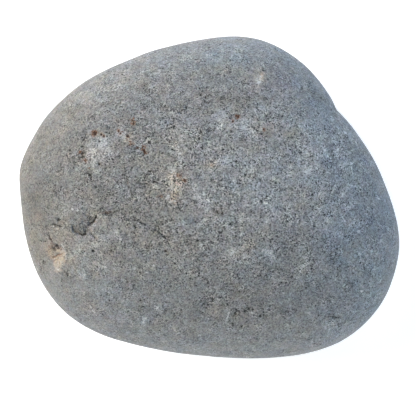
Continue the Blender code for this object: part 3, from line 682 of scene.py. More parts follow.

# Broad patches of lighter (+) or darker (-) stone, in the same form. Those in the chipped hollow and along the crack
# are painted shade, and the small lighter one on the hollow's knob is a painted highlight.
TONES_AND_PAINTED_SHADE = (
    (104.5, 141, 6, 5, 0, 0.10), (92, 151, 5.5, 8, 0, 0.08), (102, 150, 6, 8, 0, 0.05), (106, 156, 4.5, 4, 0, 0.07), (94, 164, 4.5, 3.5, 0, 0.07),
    (95.5, 173, 3.5, 2.5, 0, 0.10), (174, 186, 4, 12, 0, 0.05),
    # Painted shade in the chipped hollow, with a painted highlight on its knob; the first entry of the next line is
    # painted shade along the crack.
    (79.4, 229.2, 6.4, 5.6, 12, -0.17), (84.0, 222.6, 6.0, 4.6, 0, -0.06), (78.6, 227.4, 1.9, 1.5, 0, 0.13), (90.4, 219.6, 4.6, 5.4, 35, -0.14),
    (110.0, 215.0, 7.0, 2.6, 0, -0.10), (250, 192, 62, 24, 0, 0.045), (30, 210, 9, 26, 0, -0.080),
    (46, 229, 5, 6, 0, -0.07), (36, 250, 6, 9, 0, -0.09), (172, 170, 5, 8, 0, 0.10), (177, 157, 4, 6, 0, 0.07),
    (197, 190, 8, 6, 0, 0.08), (209, 206, 6, 6, 0, 0.10), (235, 180, 8, 4, 0, 0.09), (254, 111, 4, 5, 0, 0.12),
    (245, 222, 5, 9, 0, 0.07), (274, 219, 6, 5, 0, 0.07), (303, 197, 7, 6, 0, 0.06), (346, 190, 9, 6, 0, 0.08),
    (311, 149, 9, 16, 0, 0.05), (323, 116, 6, 5, 0, 0.06), (287, 125, 6, 5, 0, 0.05), (208, 152, 4, 6, 0, 0.06),
    (222, 155, 4, 6, 0, 0.05), (75, 257, 8, 6, 0, 0.06), (56, 258, 6, 6, 0, 0.05), (67, 211, 6, 4, 0, 0.05),
    (52, 217, 5, 5, 0, 0.05), (99, 208, 9, 3, 0, 0.05), (54, 282, 7, 4, 0, 0.05), (75, 98, 9, 8, -40, 0.06),
    (52, 116, 5, 6, 0, 0.05), (139, 69, 8, 5, 0, 0.04), (211, 57, 7, 3, 0, 0.08), (259, 73, 5, 9, 0, 0.06),
    (175, 95, 4, 4, 0, 0.07), (121, 133, 5, 4, 0, 0.20), (219, 123, 3, 8, 0, 0.06), (71, 176, 4, 4, 0, 0.06),
    (155, 150, 8, 6, 0, 0.05), (160, 189, 16, 4, 0, 0.05), (328, 212, 6, 6, 0, 0.05), (331, 231, 7, 6, 0, 0.06),
    (235, 252, 6, 6, 0, 0.05), (216, 302, 5, 6, 0, 0.06), (114, 309, 6, 5, 0, 0.05), (343, 329, 12, 7, -25, 0.05),
    (206, 135, 5, 5, 0, -0.10), (152, 136, 13, 5, 0, -0.08), (134, 131, 5, 4, 0, -0.09), (106, 132, 7, 3, 0, -0.08),
    (85, 143, 6, 5, 0, -0.08), (87, 175, 5, 6, 0, -0.09), (99, 165, 4, 7, 0, -0.07), (102, 192, 8, 5, 20, -0.08),
    (107, 104, 6, 6, 0, -0.07), (48, 133, 6, 6, 0, -0.06), (136, 84, 6, 5, 0, -0.08), (150, 66, 5, 6, 0, -0.05),
    (233, 75, 7, 7, 0, -0.07), (247, 65, 6, 5, 0, -0.08), (248, 94, 5, 9, 0, -0.06), (244, 146, 6, 4, 0, -0.08),
    (257, 144, 5, 5, 0, -0.10), (270, 167, 6, 4, 0, -0.06), (285, 168, 6, 4, 0, -0.06), (324, 175, 4, 4, 0, -0.09),
    (291, 195, 4, 6, 0, -0.07), (279, 234, 5, 9, 0, -0.06), (292, 260, 7, 9, 0, -0.07), (365, 261, 7, 6, 0, -0.08),
    (378, 277, 7, 9, 0, -0.06), (196, 220, 6, 3, 0, -0.08), (168, 228, 5, 8, 0, -0.08), (181, 202, 6, 3, 0, -0.08),
    (222, 242, 6, 4, 0, -0.07), (193, 336, 6, 6, 0, -0.09), (154, 329, 6, 6, 0, -0.06), (261, 304, 10, 8, 0, -0.05),
    (180, 275, 5, 12, 20, -0.05), (228, 324, 22, 8, 0, -0.04),
    (285, 165, 58, 42, 0, 0.080), (138, 188, 34, 44, 0, -0.045), (212, 96, 34, 18, 0, -0.040), (262, 292, 86, 34, 0, -0.070), (44, 190, 26, 44, 12, -0.085),
    (150, 95, 60, 24, -20, -0.045), (196, 300, 60, 22, 0, -0.030), (84, 110, 30, 18, -40, -0.040),
    (98, 150, 14, 14, 0, 0.11), (97, 168, 6, 7, 0, 0.07), (174, 178, 7, 13, 0, 0.06),
    (176, 193, 10, 7, 0, 0.08), (179, 150, 6, 8, 0, 0.08), (199, 197, 8, 6, 0, 0.08),
    (225, 161, 9, 7, 0, 0.09), (220, 120, 7, 10, 0, 0.08), (244, 125, 11, 7, 0, 0.10),
    (259, 78, 8, 10, 0, 0.10), (310, 166, 9, 13, 0, 0.08), (308, 128, 10, 9, 0, 0.05),
    (238, 254, 14, 8, 0, 0.08), (270, 254, 8, 6, 0, 0.07), (270, 215, 11, 9, 0, 0.06),
    (250, 195, 24, 12, 0, 0.03), (340, 160, 10, 22, 0, 0.04), (100, 266, 9, 5, 0, 0.05),
    (84, 275, 6, 5, 0, 0.07), (157, 308, 6, 7, 0, 0.06), (143, 321, 6, 6, 0, 0.07),
    (302, 266, 8, 9, 20, 0.06), (367, 255, 9, 6, 0, 0.05), (170, 78, 8, 8, 0, 0.04),
    (67, 209, 9, 8, 0, 0.05), (95, 243, 22, 11, 0, 0.05), (92, 95, 16, 10, -40, 0.04),
    (205, 98, 6, 36, 0, -0.10), (240, 98, 24, 6, -8, -0.10), (237, 116, 6, 5, 0, -0.07),
    (133, 122, 7, 7, 0, -0.08), (183, 109, 9, 6, 0, -0.07), (130, 150, 10, 7, 0, -0.06),
    (138, 183, 18, 9, 0, -0.06), (97, 190, 7, 12, -25, -0.06), (110, 211, 11, 5, 0, -0.06),
    (137, 213, 22, 8, 20, -0.06), (158, 197, 8, 5, 0, -0.05), (80, 135, 8, 6, 0, -0.06),
    (81, 156, 5, 9, 0, -0.06), (190, 239, 12, 6, 0, -0.06), (276, 80, 8, 13, 0, -0.05),
    (284, 246, 8, 13, -30, -0.08), (330, 252, 15, 10, 0, -0.06), (325, 290, 13, 10, 0, -0.05),
    (330, 314, 14, 6, 10, -0.07), (205, 302, 10, 6, 0, -0.06), (256, 306, 9, 8, 0, -0.06),
    (262, 280, 11, 13, 0, -0.05), (135, 283, 13, 8, 0, -0.04), (70, 278, 8, 8, 0, -0.05),
    (125, 331, 11, 6, 0, -0.04), (318, 99, 15, 8, 40, -0.07), (384, 222, 8, 14, 0, -0.04),
    (33, 199, 8, 9, 0, -0.08), (80, 225, 9, 8, 0, -0.05), (118, 140, 12, 16, 0, -0.03), (80, 143, 16, 10, 0, -0.03),
    (98, 187, 14, 9, 0, -0.04), (170, 207, 9, 8, 0, -0.05), (190, 323, 12, 8, 0, -0.04), (310, 165, 8, 8, 0, 0.06),
    (234, 125, 12, 8, 0, 0.05), (278, 105, 16, 8, 0, 0.04), (211, 207, 8, 8, 0, 0.04),
    (266, 110, 8, 7, 0, 0.08), (231, 112, 8, 7, 0, 0.05), (170, 139, 7, 7, 0, 0.08), (206, 154, 5, 6, 0, 0.05), (194, 167, 6, 7, 0, 0.05),
    (265, 175, 11, 6, 0, 0.08), (199, 197, 7, 7, 0, 0.08), (246, 224, 7, 7, 0, 0.07), (220, 210, 6, 5, 0, 0.05), (312, 100, 13, 9, 30, 0.05),
    (319, 147, 6, 7, 0, 0.06), (315, 167, 5, 6, 0, 0.04), (290, 122, 10, 7, 0, 0.04), (118, 82, 22, 8, -30, 0.04), (80, 100, 16, 7, -40, 0.05),
    (30, 229, 5, 9, 0, 0.09), (80, 255, 9, 7, 0, 0.05), (135, 197, 18, 5, -10, 0.04), (62, 307, 8, 8, 0, 0.04), (342, 338, 12, 7, -30, 0.08),
    (362, 175, 7, 7, 0, 0.04), (225, 135, 8, 7, 0, 0.04), (179, 165, 5, 7, 0, 0.05), (210, 297, 10, 6, 0, 0.03), (276, 225, 7, 6, 0, 0.04),
    (241, 71, 9, 8, 0, -0.07), (165, 85, 7, 9, 0, -0.05), (150, 135, 9, 8, 0, -0.06), (90, 147, 6, 7, 0, -0.05), (104, 132, 7, 4, 0, -0.04),
    (190, 145, 6, 6, 0, -0.05), (175, 185, 6, 6, 0, -0.07), (178, 210, 9, 7, -30, -0.06), (102, 203, 12, 7, 0, -0.06), (101, 248, 6, 12, 0, -0.04),
    (227, 247, 6, 6, 0, -0.06), (267, 267, 8, 6, 0, -0.05), (299, 266, 8, 6, 0, -0.06), (265, 307, 11, 6, 0, -0.05), (342, 237, 6, 7, 0, -0.05),
    (140, 314, 6, 6, 0, -0.05), (195, 338, 6, 8, 0, -0.06), (240, 335, 14, 6, 0, -0.04), (262, 355, 26, 5, 0, -0.10), (140, 341, 16, 5, 15, -0.06),
    (375, 176, 6, 10, 0, -0.05), (360, 150, 6, 9, 0, -0.05), (350, 132, 6, 7, 0, -0.04), (39, 252, 5, 8, 0, -0.06), (206, 48, 9, 5, 0, -0.07),
    (307, 71, 5, 5, 0, -0.07), (205, 115, 7, 6, 0, -0.05), (75, 280, 8, 6, 0, -0.04), (125, 227, 7, 5, 0, -0.04), (325, 307, 6, 6, 0, -0.04),
    (275, 135, 5, 5, 0, -0.05), (300, 330, 9, 7, 0, -0.04),
    (236, 50, 10, 8, 0, 0.06), (141, 151, 6, 5, 0, 0.07), (217, 149, 13, 6, -20, 0.06), (240, 179, 22, 6, 0, 0.05), (150, 189, 9, 6, 0, 0.05),
    (320, 167, 8, 6, 0, 0.05), (332, 185, 6, 6, 0, 0.05), (306, 197, 5, 7, 0, 0.05), (326, 234, 6, 5, 0, 0.06), (227, 266, 13, 6, 0, 0.07),
    (287, 271, 5, 6, 0, 0.06), (214, 294, 14, 10, 0, 0.03), (82, 259, 9, 6, 0, 0.04), (88, 90, 26, 7, -35, 0.05), (126, 89, 7, 8, 30, 0.05),
    (179, 95, 5, 7, 0, 0.05), (262, 107, 9, 8, 0, 0.05), (288, 117, 7, 10, 0, 0.05), (165, 62, 7, 6, 0, 0.04), (337, 327, 22, 8, -15, 0.04),
    (55, 282, 8, 5, 0, 0.04), (165, 119, 5, 6, 0, 0.04), (112, 122, 6, 5, 0, 0.04), (210, 46, 10, 5, 0, -0.04), (163, 83, 6, 9, 0, -0.06),
    (240, 80, 20, 8, -15, -0.05), (97, 162, 5, 5, 0, -0.08), (54, 145, 6, 16, 0, -0.05), (109, 197, 6, 5, 0, -0.08), (81, 198, 5, 6, 0, -0.05),
    (44, 221, 5, 9, 0, -0.08), (202, 215, 6, 5, 0, -0.07), (190, 231, 7, 6, 0, -0.05), (147, 218, 7, 8, 0, -0.04), (192, 184, 5, 6, 0, -0.06),
    (175, 184, 5, 5, 0, -0.04), (240, 198, 10, 6, -20, -0.04), (272, 156, 5, 6, 0, -0.06), (286, 170, 5, 5, 0, -0.04), (228, 249, 5, 6, 0, -0.07),
    (321, 264, 6, 8, 0, -0.09), (256, 268, 6, 6, 0, -0.05), (308, 305, 9, 6, 0, -0.05), (258, 327, 8, 5, 0, -0.04), (150, 280, 12, 9, 0, -0.04),
    (184, 276, 6, 9, 0, -0.04), (138, 123, 8, 7, 0, -0.05), (121, 146, 8, 5, 0, -0.04), (122, 329, 8, 6, 0, -0.05), (356, 156, 8, 18, 30, -0.05),
    (375, 175, 5, 16, 25, -0.06), (386, 228, 7, 8, 0, -0.05), (362, 250, 8, 10, 0, -0.04), (309, 72, 5, 6, 0, -0.07), (324, 100, 5, 6, 0, -0.04),
    # The entries from (73.4, 228) to (110, 212) are painted shade in the chipped hollow and along the crack.
    (160, 343, 18, 4, 10, -0.05), (292, 351, 16, 5, 0, -0.06), (57, 251, 5, 5, 0, -0.05), (46.6, 229.4, 3, 3, 0, -0.09), (73.4, 228, 2.2, 4, 0, -0.07), (81.4, 233.4, 3.6, 2.4, 0, -0.12), (84.6, 229.6, 1.8, 4, 10, -0.08), (110, 212, 7, 2, -8, -0.09), (45, 247, 6, 6, 0, 0.06), (60, 262, 5, 6, 0, 0.03),
)  # fmt: skip

# Broad patches, warmer (+) or cooler (-), in the same form.
WARMTH = (
    (250, 244, 10, 8, 0, 0.5), (335, 292, 60, 50, 0, -0.22), (205, 52, 50, 16, 0, -0.30), (102, 142, 9, 7, 0, -0.5), (366, 262, 48, 92, 0, -0.62), (150, 192, 40, 62, 0, 0.42), (264, 108, 42, 40, 0, 0.52), (96, 292, 42, 34, 0, -0.30),
    (176, 180, 9, 15, 0, 1.0), (171, 197, 6, 6, 0, 0.5), (59, 256, 10, 12, 0, 0.5),
    (49, 246, 8, 8, 0, 0.6), (37, 232, 9, 16, 0, 0.4), (62, 236, 10, 7, 0, 0.5),
    (97, 215, 7, 5, 0, 0.3), (94, 200, 8, 8, 0, 0.3), (78, 112, 30, 22, -40, 0.25),
    (120, 78, 20, 8, -20, 0.3), (128, 141, 7, 6, 0, 0.8), (97, 133, 10, 5, 0, 0.3),
    (180, 143, 5, 9, 0, 0.5), (259, 77, 9, 9, 0, 1.1), (225, 69, 8, 6, 0, 0.5),
    (288, 133, 15, 6, 0, 0.7), (263, 128, 7, 5, 0, 0.5), (211, 166, 7, 5, 0, 0.8),
    (237, 98, 18, 6, -8, 0.4), (298, 101, 9, 4, 0, 0.4), (238, 253, 13, 8, 0, 0.6),
    (187, 243, 18, 8, 0, 0.5), (219, 212, 10, 5, 0, 0.4), (240, 317, 10, 6, 0, 0.6),
    (219, 311, 8, 8, 0, 0.5), (186, 329, 12, 7, 0, 0.4), (351, 257, 8, 6, 0, 0.5),
    (88, 294, 9, 7, 0, 0.3), (153, 265, 6, 5, 0, 0.5), (93, 307, 6, 10, -30, 0.4),
    (245, 222, 14, 8, 0, 0.3), (300, 195, 14, 18, 0, 0.3), (108, 246, 16, 8, 0, 0.25),
    (244, 126, 10, 7, 0, -0.7), (224, 160, 9, 7, 0, -0.5), (270, 254, 9, 7, 0, -0.8),
    (256, 187, 16, 10, 0, -0.4), (143, 320, 9, 8, 0, -0.4), (84, 275, 7, 5, 0, -0.5),
    (324, 116, 12, 20, 30, -0.5), (328, 163, 14, 18, 0, -0.4), (338, 235, 14, 12, 0, -0.4),
    (220, 117, 9, 11, 0, -0.4), (215, 58, 36, 8, 0, -0.3), (133, 190, 12, 12, 0, -0.4),
    (120, 172, 14, 9, 0, -0.3), (112, 292, 14, 9, 0, -0.3), (275, 202, 12, 9, 0, -0.3),
    (241, 62, 11, 9, 0, -0.6), (172, 70, 12, 7, 0, -0.35), (210, 62, 9, 6, 0, -0.25), (220, 91, 8, 7, 0, -0.35), (225, 115, 8, 6, 0, -0.35),
    (165, 125, 10, 7, 0, -0.5), (92, 92, 18, 6, 15, -0.4), (97, 125, 18, 5, 0, -0.35), (51, 121, 6, 7, 0, -0.35), (190, 141, 6, 6, 0, -0.35),
    (44, 178, 8, 11, 0, -0.5), (68, 180, 9, 7, 0, -0.65), (111, 180, 7, 8, 0, -0.5), (295, 165, 8, 6, 0, -0.4), (335, 190, 8, 6, 0, -0.4),
    (232, 187, 12, 6, 20, -0.4), (195, 192, 8, 5, 0, -0.35), (185, 220, 9, 9, 0, -0.5), (327, 217, 9, 8, 0, -0.35), (65, 250, 9, 8, 0, -0.4),
    (56, 270, 6, 6, 0, -0.4), (262, 275, 9, 8, 0, -0.4), (115, 297, 12, 6, 30, -0.4), (147, 320, 10, 6, 30, -0.3), (337, 335, 13, 8, -20, -0.8),
    (378, 295, 8, 16, 20, -0.4), (325, 250, 8, 18, 0, -0.3), (217, 297, 6, 7, 0, -0.3), (187, 345, 10, 5, 0, -0.35), (325, 140, 8, 7, 0, -0.35),
    (365, 165, 8, 16, 0, -0.25), (277, 205, 11, 7, 0, -0.3), (182, 282, 8, 7, 0, -0.3),
    (236, 144, 8, 6, 0, 0.6), (80, 147, 14, 7, 0, 0.45), (175, 245, 8, 7, 0, 0.6), (255, 127, 9, 7, 30, 0.6), (82, 110, 8, 6, 0, 0.4),
    (150, 85, 12, 7, 0, 0.3), (265, 75, 9, 8, 0, 0.4), (212, 142, 6, 7, 0, 0.35), (252, 172, 8, 8, 0, 0.35), (285, 97, 8, 11, 20, 0.35),
    (214, 205, 10, 6, 0, 0.4), (175, 189, 6, 5, 0, 0.35), (122, 245, 8, 6, 0, 0.4), (158, 235, 13, 5, 30, 0.4), (122, 272, 9, 7, 0, 0.4),
    (150, 277, 8, 7, 0, 0.35), (206, 266, 18, 7, 40, 0.4), (237, 297, 8, 6, 0, 0.3), (305, 311, 8, 7, 0, 0.35), (358, 274, 10, 7, 0, 0.35),
    (60, 227, 8, 6, 0, 0.4), (65, 127, 5, 6, 0, 0.4), (306, 71, 6, 6, 0, 0.35), (315, 120, 7, 6, 0, 0.3), (303, 208, 9, 8, 0, 0.3),
    (135, 337, 9, 5, 0, 0.4), (252, 342, 9, 5, 0, 0.25), (170, 325, 10, 6, 0, 0.25), (37, 262, 6, 10, 0, 0.35),
    (42, 187, 16, 12, 0, -0.35), (107, 97, 14, 6, 0, -0.35), (97, 125, 12, 6, 0, -0.3), (302, 111, 12, 7, 0, -0.35), (270, 117, 8, 6, 0, -0.3),
    (222, 52, 26, 12, 0, -0.2), (187, 228, 9, 8, 0, -0.5), (297, 187, 8, 7, 0, -0.3), (280, 265, 16, 8, 0, -0.3), (362, 314, 12, 16, 40, -0.55),
    (389, 205, 6, 30, 0, -0.45), (335, 243, 16, 14, 0, -0.3), (85, 292, 22, 12, 0, -0.22), (235, 275, 9, 6, 30, -0.25), (210, 327, 10, 8, 0, -0.22),
    (62, 125, 7, 6, 0, 0.35), (140, 87, 12, 8, 30, 0.3), (200, 97, 8, 8, 0, 0.35), (122, 132, 6, 6, 0, 0.3), (145, 127, 8, 7, 0, 0.35),
    (187, 127, 6, 8, 0, 0.35), (268, 137, 18, 9, 35, 0.4), (176, 190, 10, 7, 0, 0.45), (82, 155, 6, 9, 0, 0.35), (261, 180, 8, 7, 0, 0.35),
    (289, 178, 7, 6, 0, 0.35), (167, 245, 12, 9, 30, 0.45), (234, 251, 9, 6, 0, 0.3), (47, 248, 8, 12, 0, 0.35), (127, 247, 8, 6, 0, 0.25),
    (124, 281, 10, 9, 0, 0.35), (338, 282, 10, 6, 0, 0.45), (374, 272, 7, 7, 0, 0.35), (352, 203, 8, 7, 0, 0.3), (307, 200, 6, 7, 0, 0.3),
    (332, 230, 7, 6, 0, 0.3), (191, 307, 8, 8, 0, 0.35), (234, 291, 12, 7, 30, 0.3), (305, 312, 8, 6, 0, 0.3), (97, 265, 7, 6, 0, 0.3),
    (322, 112, 6, 6, 0, 0.3),
)  # fmt: skip

# Broad patches, greener (+) or plummier (-), in the same form.
GREEN = (
    (280, 84, 13, 11, 35, -2.9), (277, 131, 13, 9, 0, -2.4), (250, 86, 13, 9, 0, -1.5), (165, 91, 22, 12, 0, -1.1), (122, 75, 10, 9, 0, -1.2),
    (255, 219, 15, 9, 30, -1.5), (46, 247, 9, 9, 0, -1.4), (97, 315, 26, 13, 20, -1.2), (315, 195, 9, 6, 0, -1.2), (350, 205, 9, 7, 0, -0.9),
    (111, 147, 9, 8, 0, -0.9), (296, 232, 8, 7, 0, -1.0), (222, 241, 7, 8, 0, -1.0), (203, 206, 6, 10, 0, -0.8), (297, 148, 9, 7, 0, -0.8),
    (219, 59, 11, 9, 0, 1.7), (241, 61, 9, 9, 0, 0.9), (199, 145, 12, 8, 0, 1.3), (141, 171, 9, 22, 15, 0.8), (351, 175, 9, 22, 0, 1.2),
    (372, 274, 15, 17, 0, 1.9), (349, 286, 11, 10, 0, 1.2), (374, 305, 14, 14, 0, 1.6), (176, 292, 12, 11, 0, 1.6), (56, 217, 15, 8, 0, 1.0),
    (235, 189, 12, 8, 0, 1.0), (272, 195, 11, 9, 0, 1.0), (335, 224, 7, 12, 0, 1.1), (201, 243, 8, 10, 0, 1.3), (288, 264, 20, 9, 0, 0.9),
    (255, 350, 16, 8, 0, 1.0), (92, 281, 9, 9, 0, 0.9), (352, 252, 18, 12, 0, 0.8), (232, 219, 12, 8, 0, 0.7),
)  # fmt: skip

# Broad patches where the grain is crisper (+) or more worn (-), in the same form.
CRISP = (
    (34, 200, 12, 52, 0, -0.26), (50, 180, 16, 60, 0, -0.10), (50, 284, 15, 13, -30, -0.40), (66, 304, 20, 12, -30, -0.18), (58, 140, 16, 20, 20, -0.14),
    (96, 326, 20, 8, -15, -0.16), (190, 348, 50, 8, 0, -0.18), (292, 348, 56, 8, 0, -0.24), (76, 215, 22, 38, 0, -0.06),
    (74, 286, 28, 14, 0, -0.14), (124, 226, 36, 26, 0, -0.08), (150, 286, 10, 8, 0, -0.12), (345, 206, 26, 12, 0, -0.14),
    (268, 144, 20, 11, 0, -0.18), (262, 178, 16, 16, 0, -0.10), (232, 106, 20, 9, 0, -0.08), (195, 325, 10, 8, 0, -0.16), (248, 45, 14, 6, 0, -0.18), (57, 257, 7, 13, 0, -0.30), (46, 250, 8, 20, 0, -0.20), (61, 234, 11, 10, 0, -0.24),
    (124, 80, 34, 14, -20, 0.12), (150, 86, 12, 10, 0, 0.12), (172, 106, 14, 9, 0, 0.18), (160, 127, 16, 8, 0, 0.12),
    (92, 152, 14, 20, 0, 0.12), (146, 150, 24, 14, 0, 0.09), (254, 108, 14, 9, 0, 0.14), (288, 108, 16, 9, 0, 0.12),
    (340, 112, 16, 14, 40, 0.20), (352, 152, 18, 22, 20, 0.18), (310, 148, 12, 14, 0, 0.10), (372, 234, 16, 16, 0, 0.13), (330, 246, 10, 9, 0, 0.15),
    (358, 266, 22, 12, 0, 0.18), (352, 296, 16, 18, 0, 0.22), (330, 326, 14, 9, 0, 0.22), (220, 308, 34, 14, 0, 0.10),
    (170, 326, 10, 8, 0, 0.12), (120, 305, 20, 9, 0, 0.12), (172, 176, 14, 18, 0, 0.16), (218, 206, 26, 11, 0, 0.18),
    (350, 176, 34, 84, 0, 0.13), (120, 170, 60, 40, 0, 0.08), (270, 264, 11, 9, 0, 0.16), (272, 206, 11, 8, 0, 0.10), (310, 266, 26, 20, 0, 0.13), (345, 300, 40, 30, 0, 0.09), (258, 312, 60, 26, 0, 0.07),
)  # fmt: skip

# Marks that the sides and the underside carry: (azimuth, elevation, radius in mm, kind, strength).
OTHER_SIDE = (
    (285.0, -12.0, 1.1, "rust", 0.8), (292.0, -15.0, 0.6, "rust", 0.9), (212.0, -20.0, 0.9, "rust", 0.7),
    (20.0, -24.0, 0.7, "rust", 0.9), (24.0, -27.0, 0.5, "rust", 0.8), (110.0, -10.0, 0.8, "rust", 0.6),
    (140.0, -52.0, 1.3, "rust", 0.7), (320.0, -58.0, 0.9, "rust", 0.8), (70.0, -66.0, 0.7, "rust", 0.7),
    (262.0, -8.0, 2.6, "pale", 0.6), (45.0, -14.0, 2.2, "pale", 0.5), (180.0, -18.0, 2.0, "pale", 0.6),
    (235.0, -48.0, 3.4, "pale", 0.7), (90.0, -44.0, 2.8, "pale", 0.5), (350.0, -40.0, 2.4, "pale", 0.6),
    (300.0, -30.0, 2.4, "dim", 0.6), (150.0, -25.0, 2.8, "dim", 0.6), (60.0, -32.0, 2.2, "dim", 0.5),
    (10.0, -60.0, 3.6, "dim", 0.7), (200.0, -62.0, 3.0, "dim", 0.6), (120.0, -70.0, 3.0, "warm", 0.8),
    (275.0, -26.0, 3.0, "warm", 0.6), (170.0, -42.0, 3.4, "warm", 0.6), (35.0, -50.0, 3.0, "warm", 0.7),
)  # fmt: skip


def spots(places, marks, kind, seed, foot):
    """Cones with ragged feet, 1 at the middle of each mark or stroke and 0 some radii away, times its strength."""
    ragged = wobble(places, 1.8, 0.45, seed)
    value = np.zeros(len(places))
    for u, v, radius, strength in marks:
        d = np.hypot(ragged[:, 0] - u, ragged[:, 1] - v) / (foot * radius)
        value = np.maximum(value, strength * np.clip(1 - d, 0, 1))
    for stroke, width, strength, line in STROKES:
        if stroke == kind:
            d = distance_to(ragged, line, 4.0) / (2 * width)
            value = np.maximum(value, strength * np.clip(1 - d, 0, 1))
    return value


def patches(places, marks, seed):
    """The sum of broad, ragged patches."""
    ragged = wobble(places, 9.0, 2.4, seed)
    value = np.zeros(len(places))
    for u, v, wide, tall, turn, amount in marks:
        c, s = math.cos(math.radians(turn)), math.sin(math.radians(turn))
        du, dv = ragged[:, 0] - u, ragged[:, 1] - v
        r2 = ((c * du + s * dv) / wide) ** 2 + ((c * dv - s * du) / tall) ** 2
        value += amount * np.exp(-(r2**1.3))
    return value


def make_stone():
    bm = bmesh.new()
    bmesh.ops.create_cube(bm, size=2)
    bmesh.ops.subdivide_edges(
        bm, edges=bm.edges[:], cuts=GRID - 1, use_grid_fill=True
    )
    for step in range(4):
        refine(bm, step)
    mesh = bpy.data.meshes.new("pebble_stone")
    bm.to_mesh(mesh)
    bm.free()
    return mesh


GRID = 68  # squares along each edge of the cube that the stone is rounded from
FINE_ABOVE = 21.5  # the crown above this height has squares half as wide
NICK = (334.0, 106.0, 11.0)  # and so has the skin this near the nick in the outline
CHIP_AREA = (84.0, 225.0, 13.0)  # and this near the chipped hollow, twice over


def refine(bm, step):
    """Halves the grid: first over the whole crown, then up to three times more around the marked features."""
    points = body_at(np.array([vert.co[:] for vert in bm.verts]))
    places = seen_from_above(points)
    nick = np.hypot(places[:, 0] - NICK[0], places[:, 1] - NICK[1]) < NICK[2]
    if step == 0:
        chosen = (points[:, 2] > FINE_ABOVE) | nick
    else:
        reach = (None, 2.2, 1.3, 0.9)[step]
        lines = [LEDGE] + [groove[2] for groove in GROOVES]
        if step < 3:
            lines += [ridge[2] for ridge in RIDGES] + [stroke[3] for stroke in STROKES]
        near = np.full(len(places), np.inf)
        for line in lines:
            near = np.minimum(near, distance_to(places, line, 4.0))
        chosen = near < reach
        grow, more = (None, (0.8, 1.6), (1.1, 0.2), (0.8, 0.0))[step]
        for u, v, radius, depth in PITS + (() if step == 3 else RUST + WHITE + DARK_GRAINS_AND_SHADE):
            if radius < 3 and (step < 3 or depth > 0.15):
                off = np.hypot(places[:, 0] - u, places[:, 1] - v)
                chosen |= off < grow * radius + more
        chosen &= points[:, 2] > RIM_HEIGHT
        chosen |= nick & (step == 1)
        off = np.hypot(places[:, 0] - CHIP_AREA[0], places[:, 1] - CHIP_AREA[1])
        chosen |= (off < CHIP_AREA[2]) & (points[:, 2] > RIM_HEIGHT) & (step < 3)
    bm.verts.ensure_lookup_table()
    bm.verts.index_update()
    edges = [
        e for e in bm.edges if chosen[e.verts[0].index] and chosen[e.verts[1].index]
    ]
    bmesh.ops.subdivide_edges(bm, edges=edges, cuts=1, use_grid_fill=True)


def put(mesh, name, *values):
    layer = mesh.attributes.new(name, "FLOAT_VECTOR", "POINT")
    layer.data.foreach_set(
        "vector", np.column_stack(values).astype(np.float32).ravel()
    )


def vectors(mesh, what):
    flat = np.empty(len(mesh.vertices) * 3, np.float32)
    mesh.vertices.foreach_get(what, flat)
    return flat.reshape(-1, 3).astype(float)


def place(mesh, points):
    mesh.vertices.foreach_set("co", (points * MM).astype(np.float32).ravel())
    mesh.update()


def shape_stone(mesh):
    cube = vectors(mesh, "co")
    lay_map(mesh, cube)
    points = body_at(cube)
    place(mesh, points)
    normals = vectors(mesh, "normal")
    if (normals * (points - points.mean(axis=0))).sum() < 0:
        mesh.flip_normals()
        mesh.update()
        normals = vectors(mesh, "normal")

    places = seen_from_above(points)
    upper = smooth(points[:, 2], RIM_HEIGHT - 5.0, RIM_HEIGHT - 2.0)
    skin = points.copy()
    height, recess_shade = relief(points, places, upper)
    more, pits = scattered_pits(points, normals)
    height += more
    recess_shade = np.maximum(recess_shade, pits)
    # The widest line keeps its outline, and the resting face stays level.
    level = smooth(points[:, 2], 0.0, 1.2)
    edge = 0.35 + 0.65 * smooth(np.abs(normals[:, 2]), 0.0, 0.45)
    points = points + (height * level * edge)[:, None] * normals
    points[:, 2] = np.maximum(points[:, 2], 0.0)
    place(mesh, points)

    rust = spots(places, RUST, "rust", 71, 1.7) * upper
    pale_grain_and_highlight = spots(places, WHITE, "pale", 73, 1.55) * upper
    dark_and_shade = spots(places, DARK_GRAINS_AND_SHADE, "dark_and_shade", 79, 1.5) * upper
    tone_and_shade = patches(places, TONES_AND_PAINTED_SHADE, 83) * upper
    warm = patches(places, WARMTH, 89) * upper
    cream_and_highlight = patches(places, CREAM_AND_HIGHLIGHT, 91) * upper
    crisp = 1 + patches(places, CRISP, 101) * upper
    green = patches(places, GREEN, 103) * upper
    fresh = np.exp(
        -(((places[:, 0] - 216) / 152) ** 2) - ((places[:, 1] - 186) / 110) ** 2
    )
    fresh *= smooth(normals[:, 2], 0.35, 0.8)
    rough = layered_noise(skin, 3.4, 2, 97)
    for azimuth, elevation, radius, kind, strength in OTHER_SIDE:
        a, e = math.radians(azimuth), math.radians(elevation)
        aim = [math.cos(e) * math.cos(a), math.cos(e) * math.sin(a), math.sin(e)]
        nearest = ((skin - [0, 0, RIM_HEIGHT]) @ np.array(aim)).argmax()
        d = np.linalg.norm(skin - skin[nearest], axis=1) / radius + 0.25 * rough
        mark = strength * np.clip(1 - d / 2, 0, 1)
        soft = strength * np.exp(-(np.maximum(d, 0) ** 2))
        if kind == "rust":
            rust = np.maximum(rust, mark)
        elif kind == "warm":
            warm = warm + soft
        else:
            tone_and_shade = tone_and_shade + (0.12 if kind == "pale" else -0.10) * soft
    # Rust; pale grains, partly a painted highlight on the chipped hollow's lip; dark grains, with painted shade in pit
    # mouths and along the cracks.
    put(mesh, "spots", rust, pale_grain_and_highlight, dark_and_shade)
    # Tone, with painted shade in the chipped hollow and along the crack; warmth; freshness.
    put(mesh, "patches", tone_and_shade, warm, fresh)
    put(mesh, "hues", green, 0 * green, 0 * green)
    # Painted shade in cracks, pits and the chipped hollow; crispness; cream stone, partly a painted highlight on the
    # hollow's lip.
    put(mesh, "recess_shade_crisp_cream", np.clip(recess_shade, 0, 1), crisp, np.clip(cream_and_highlight, 0, 1))


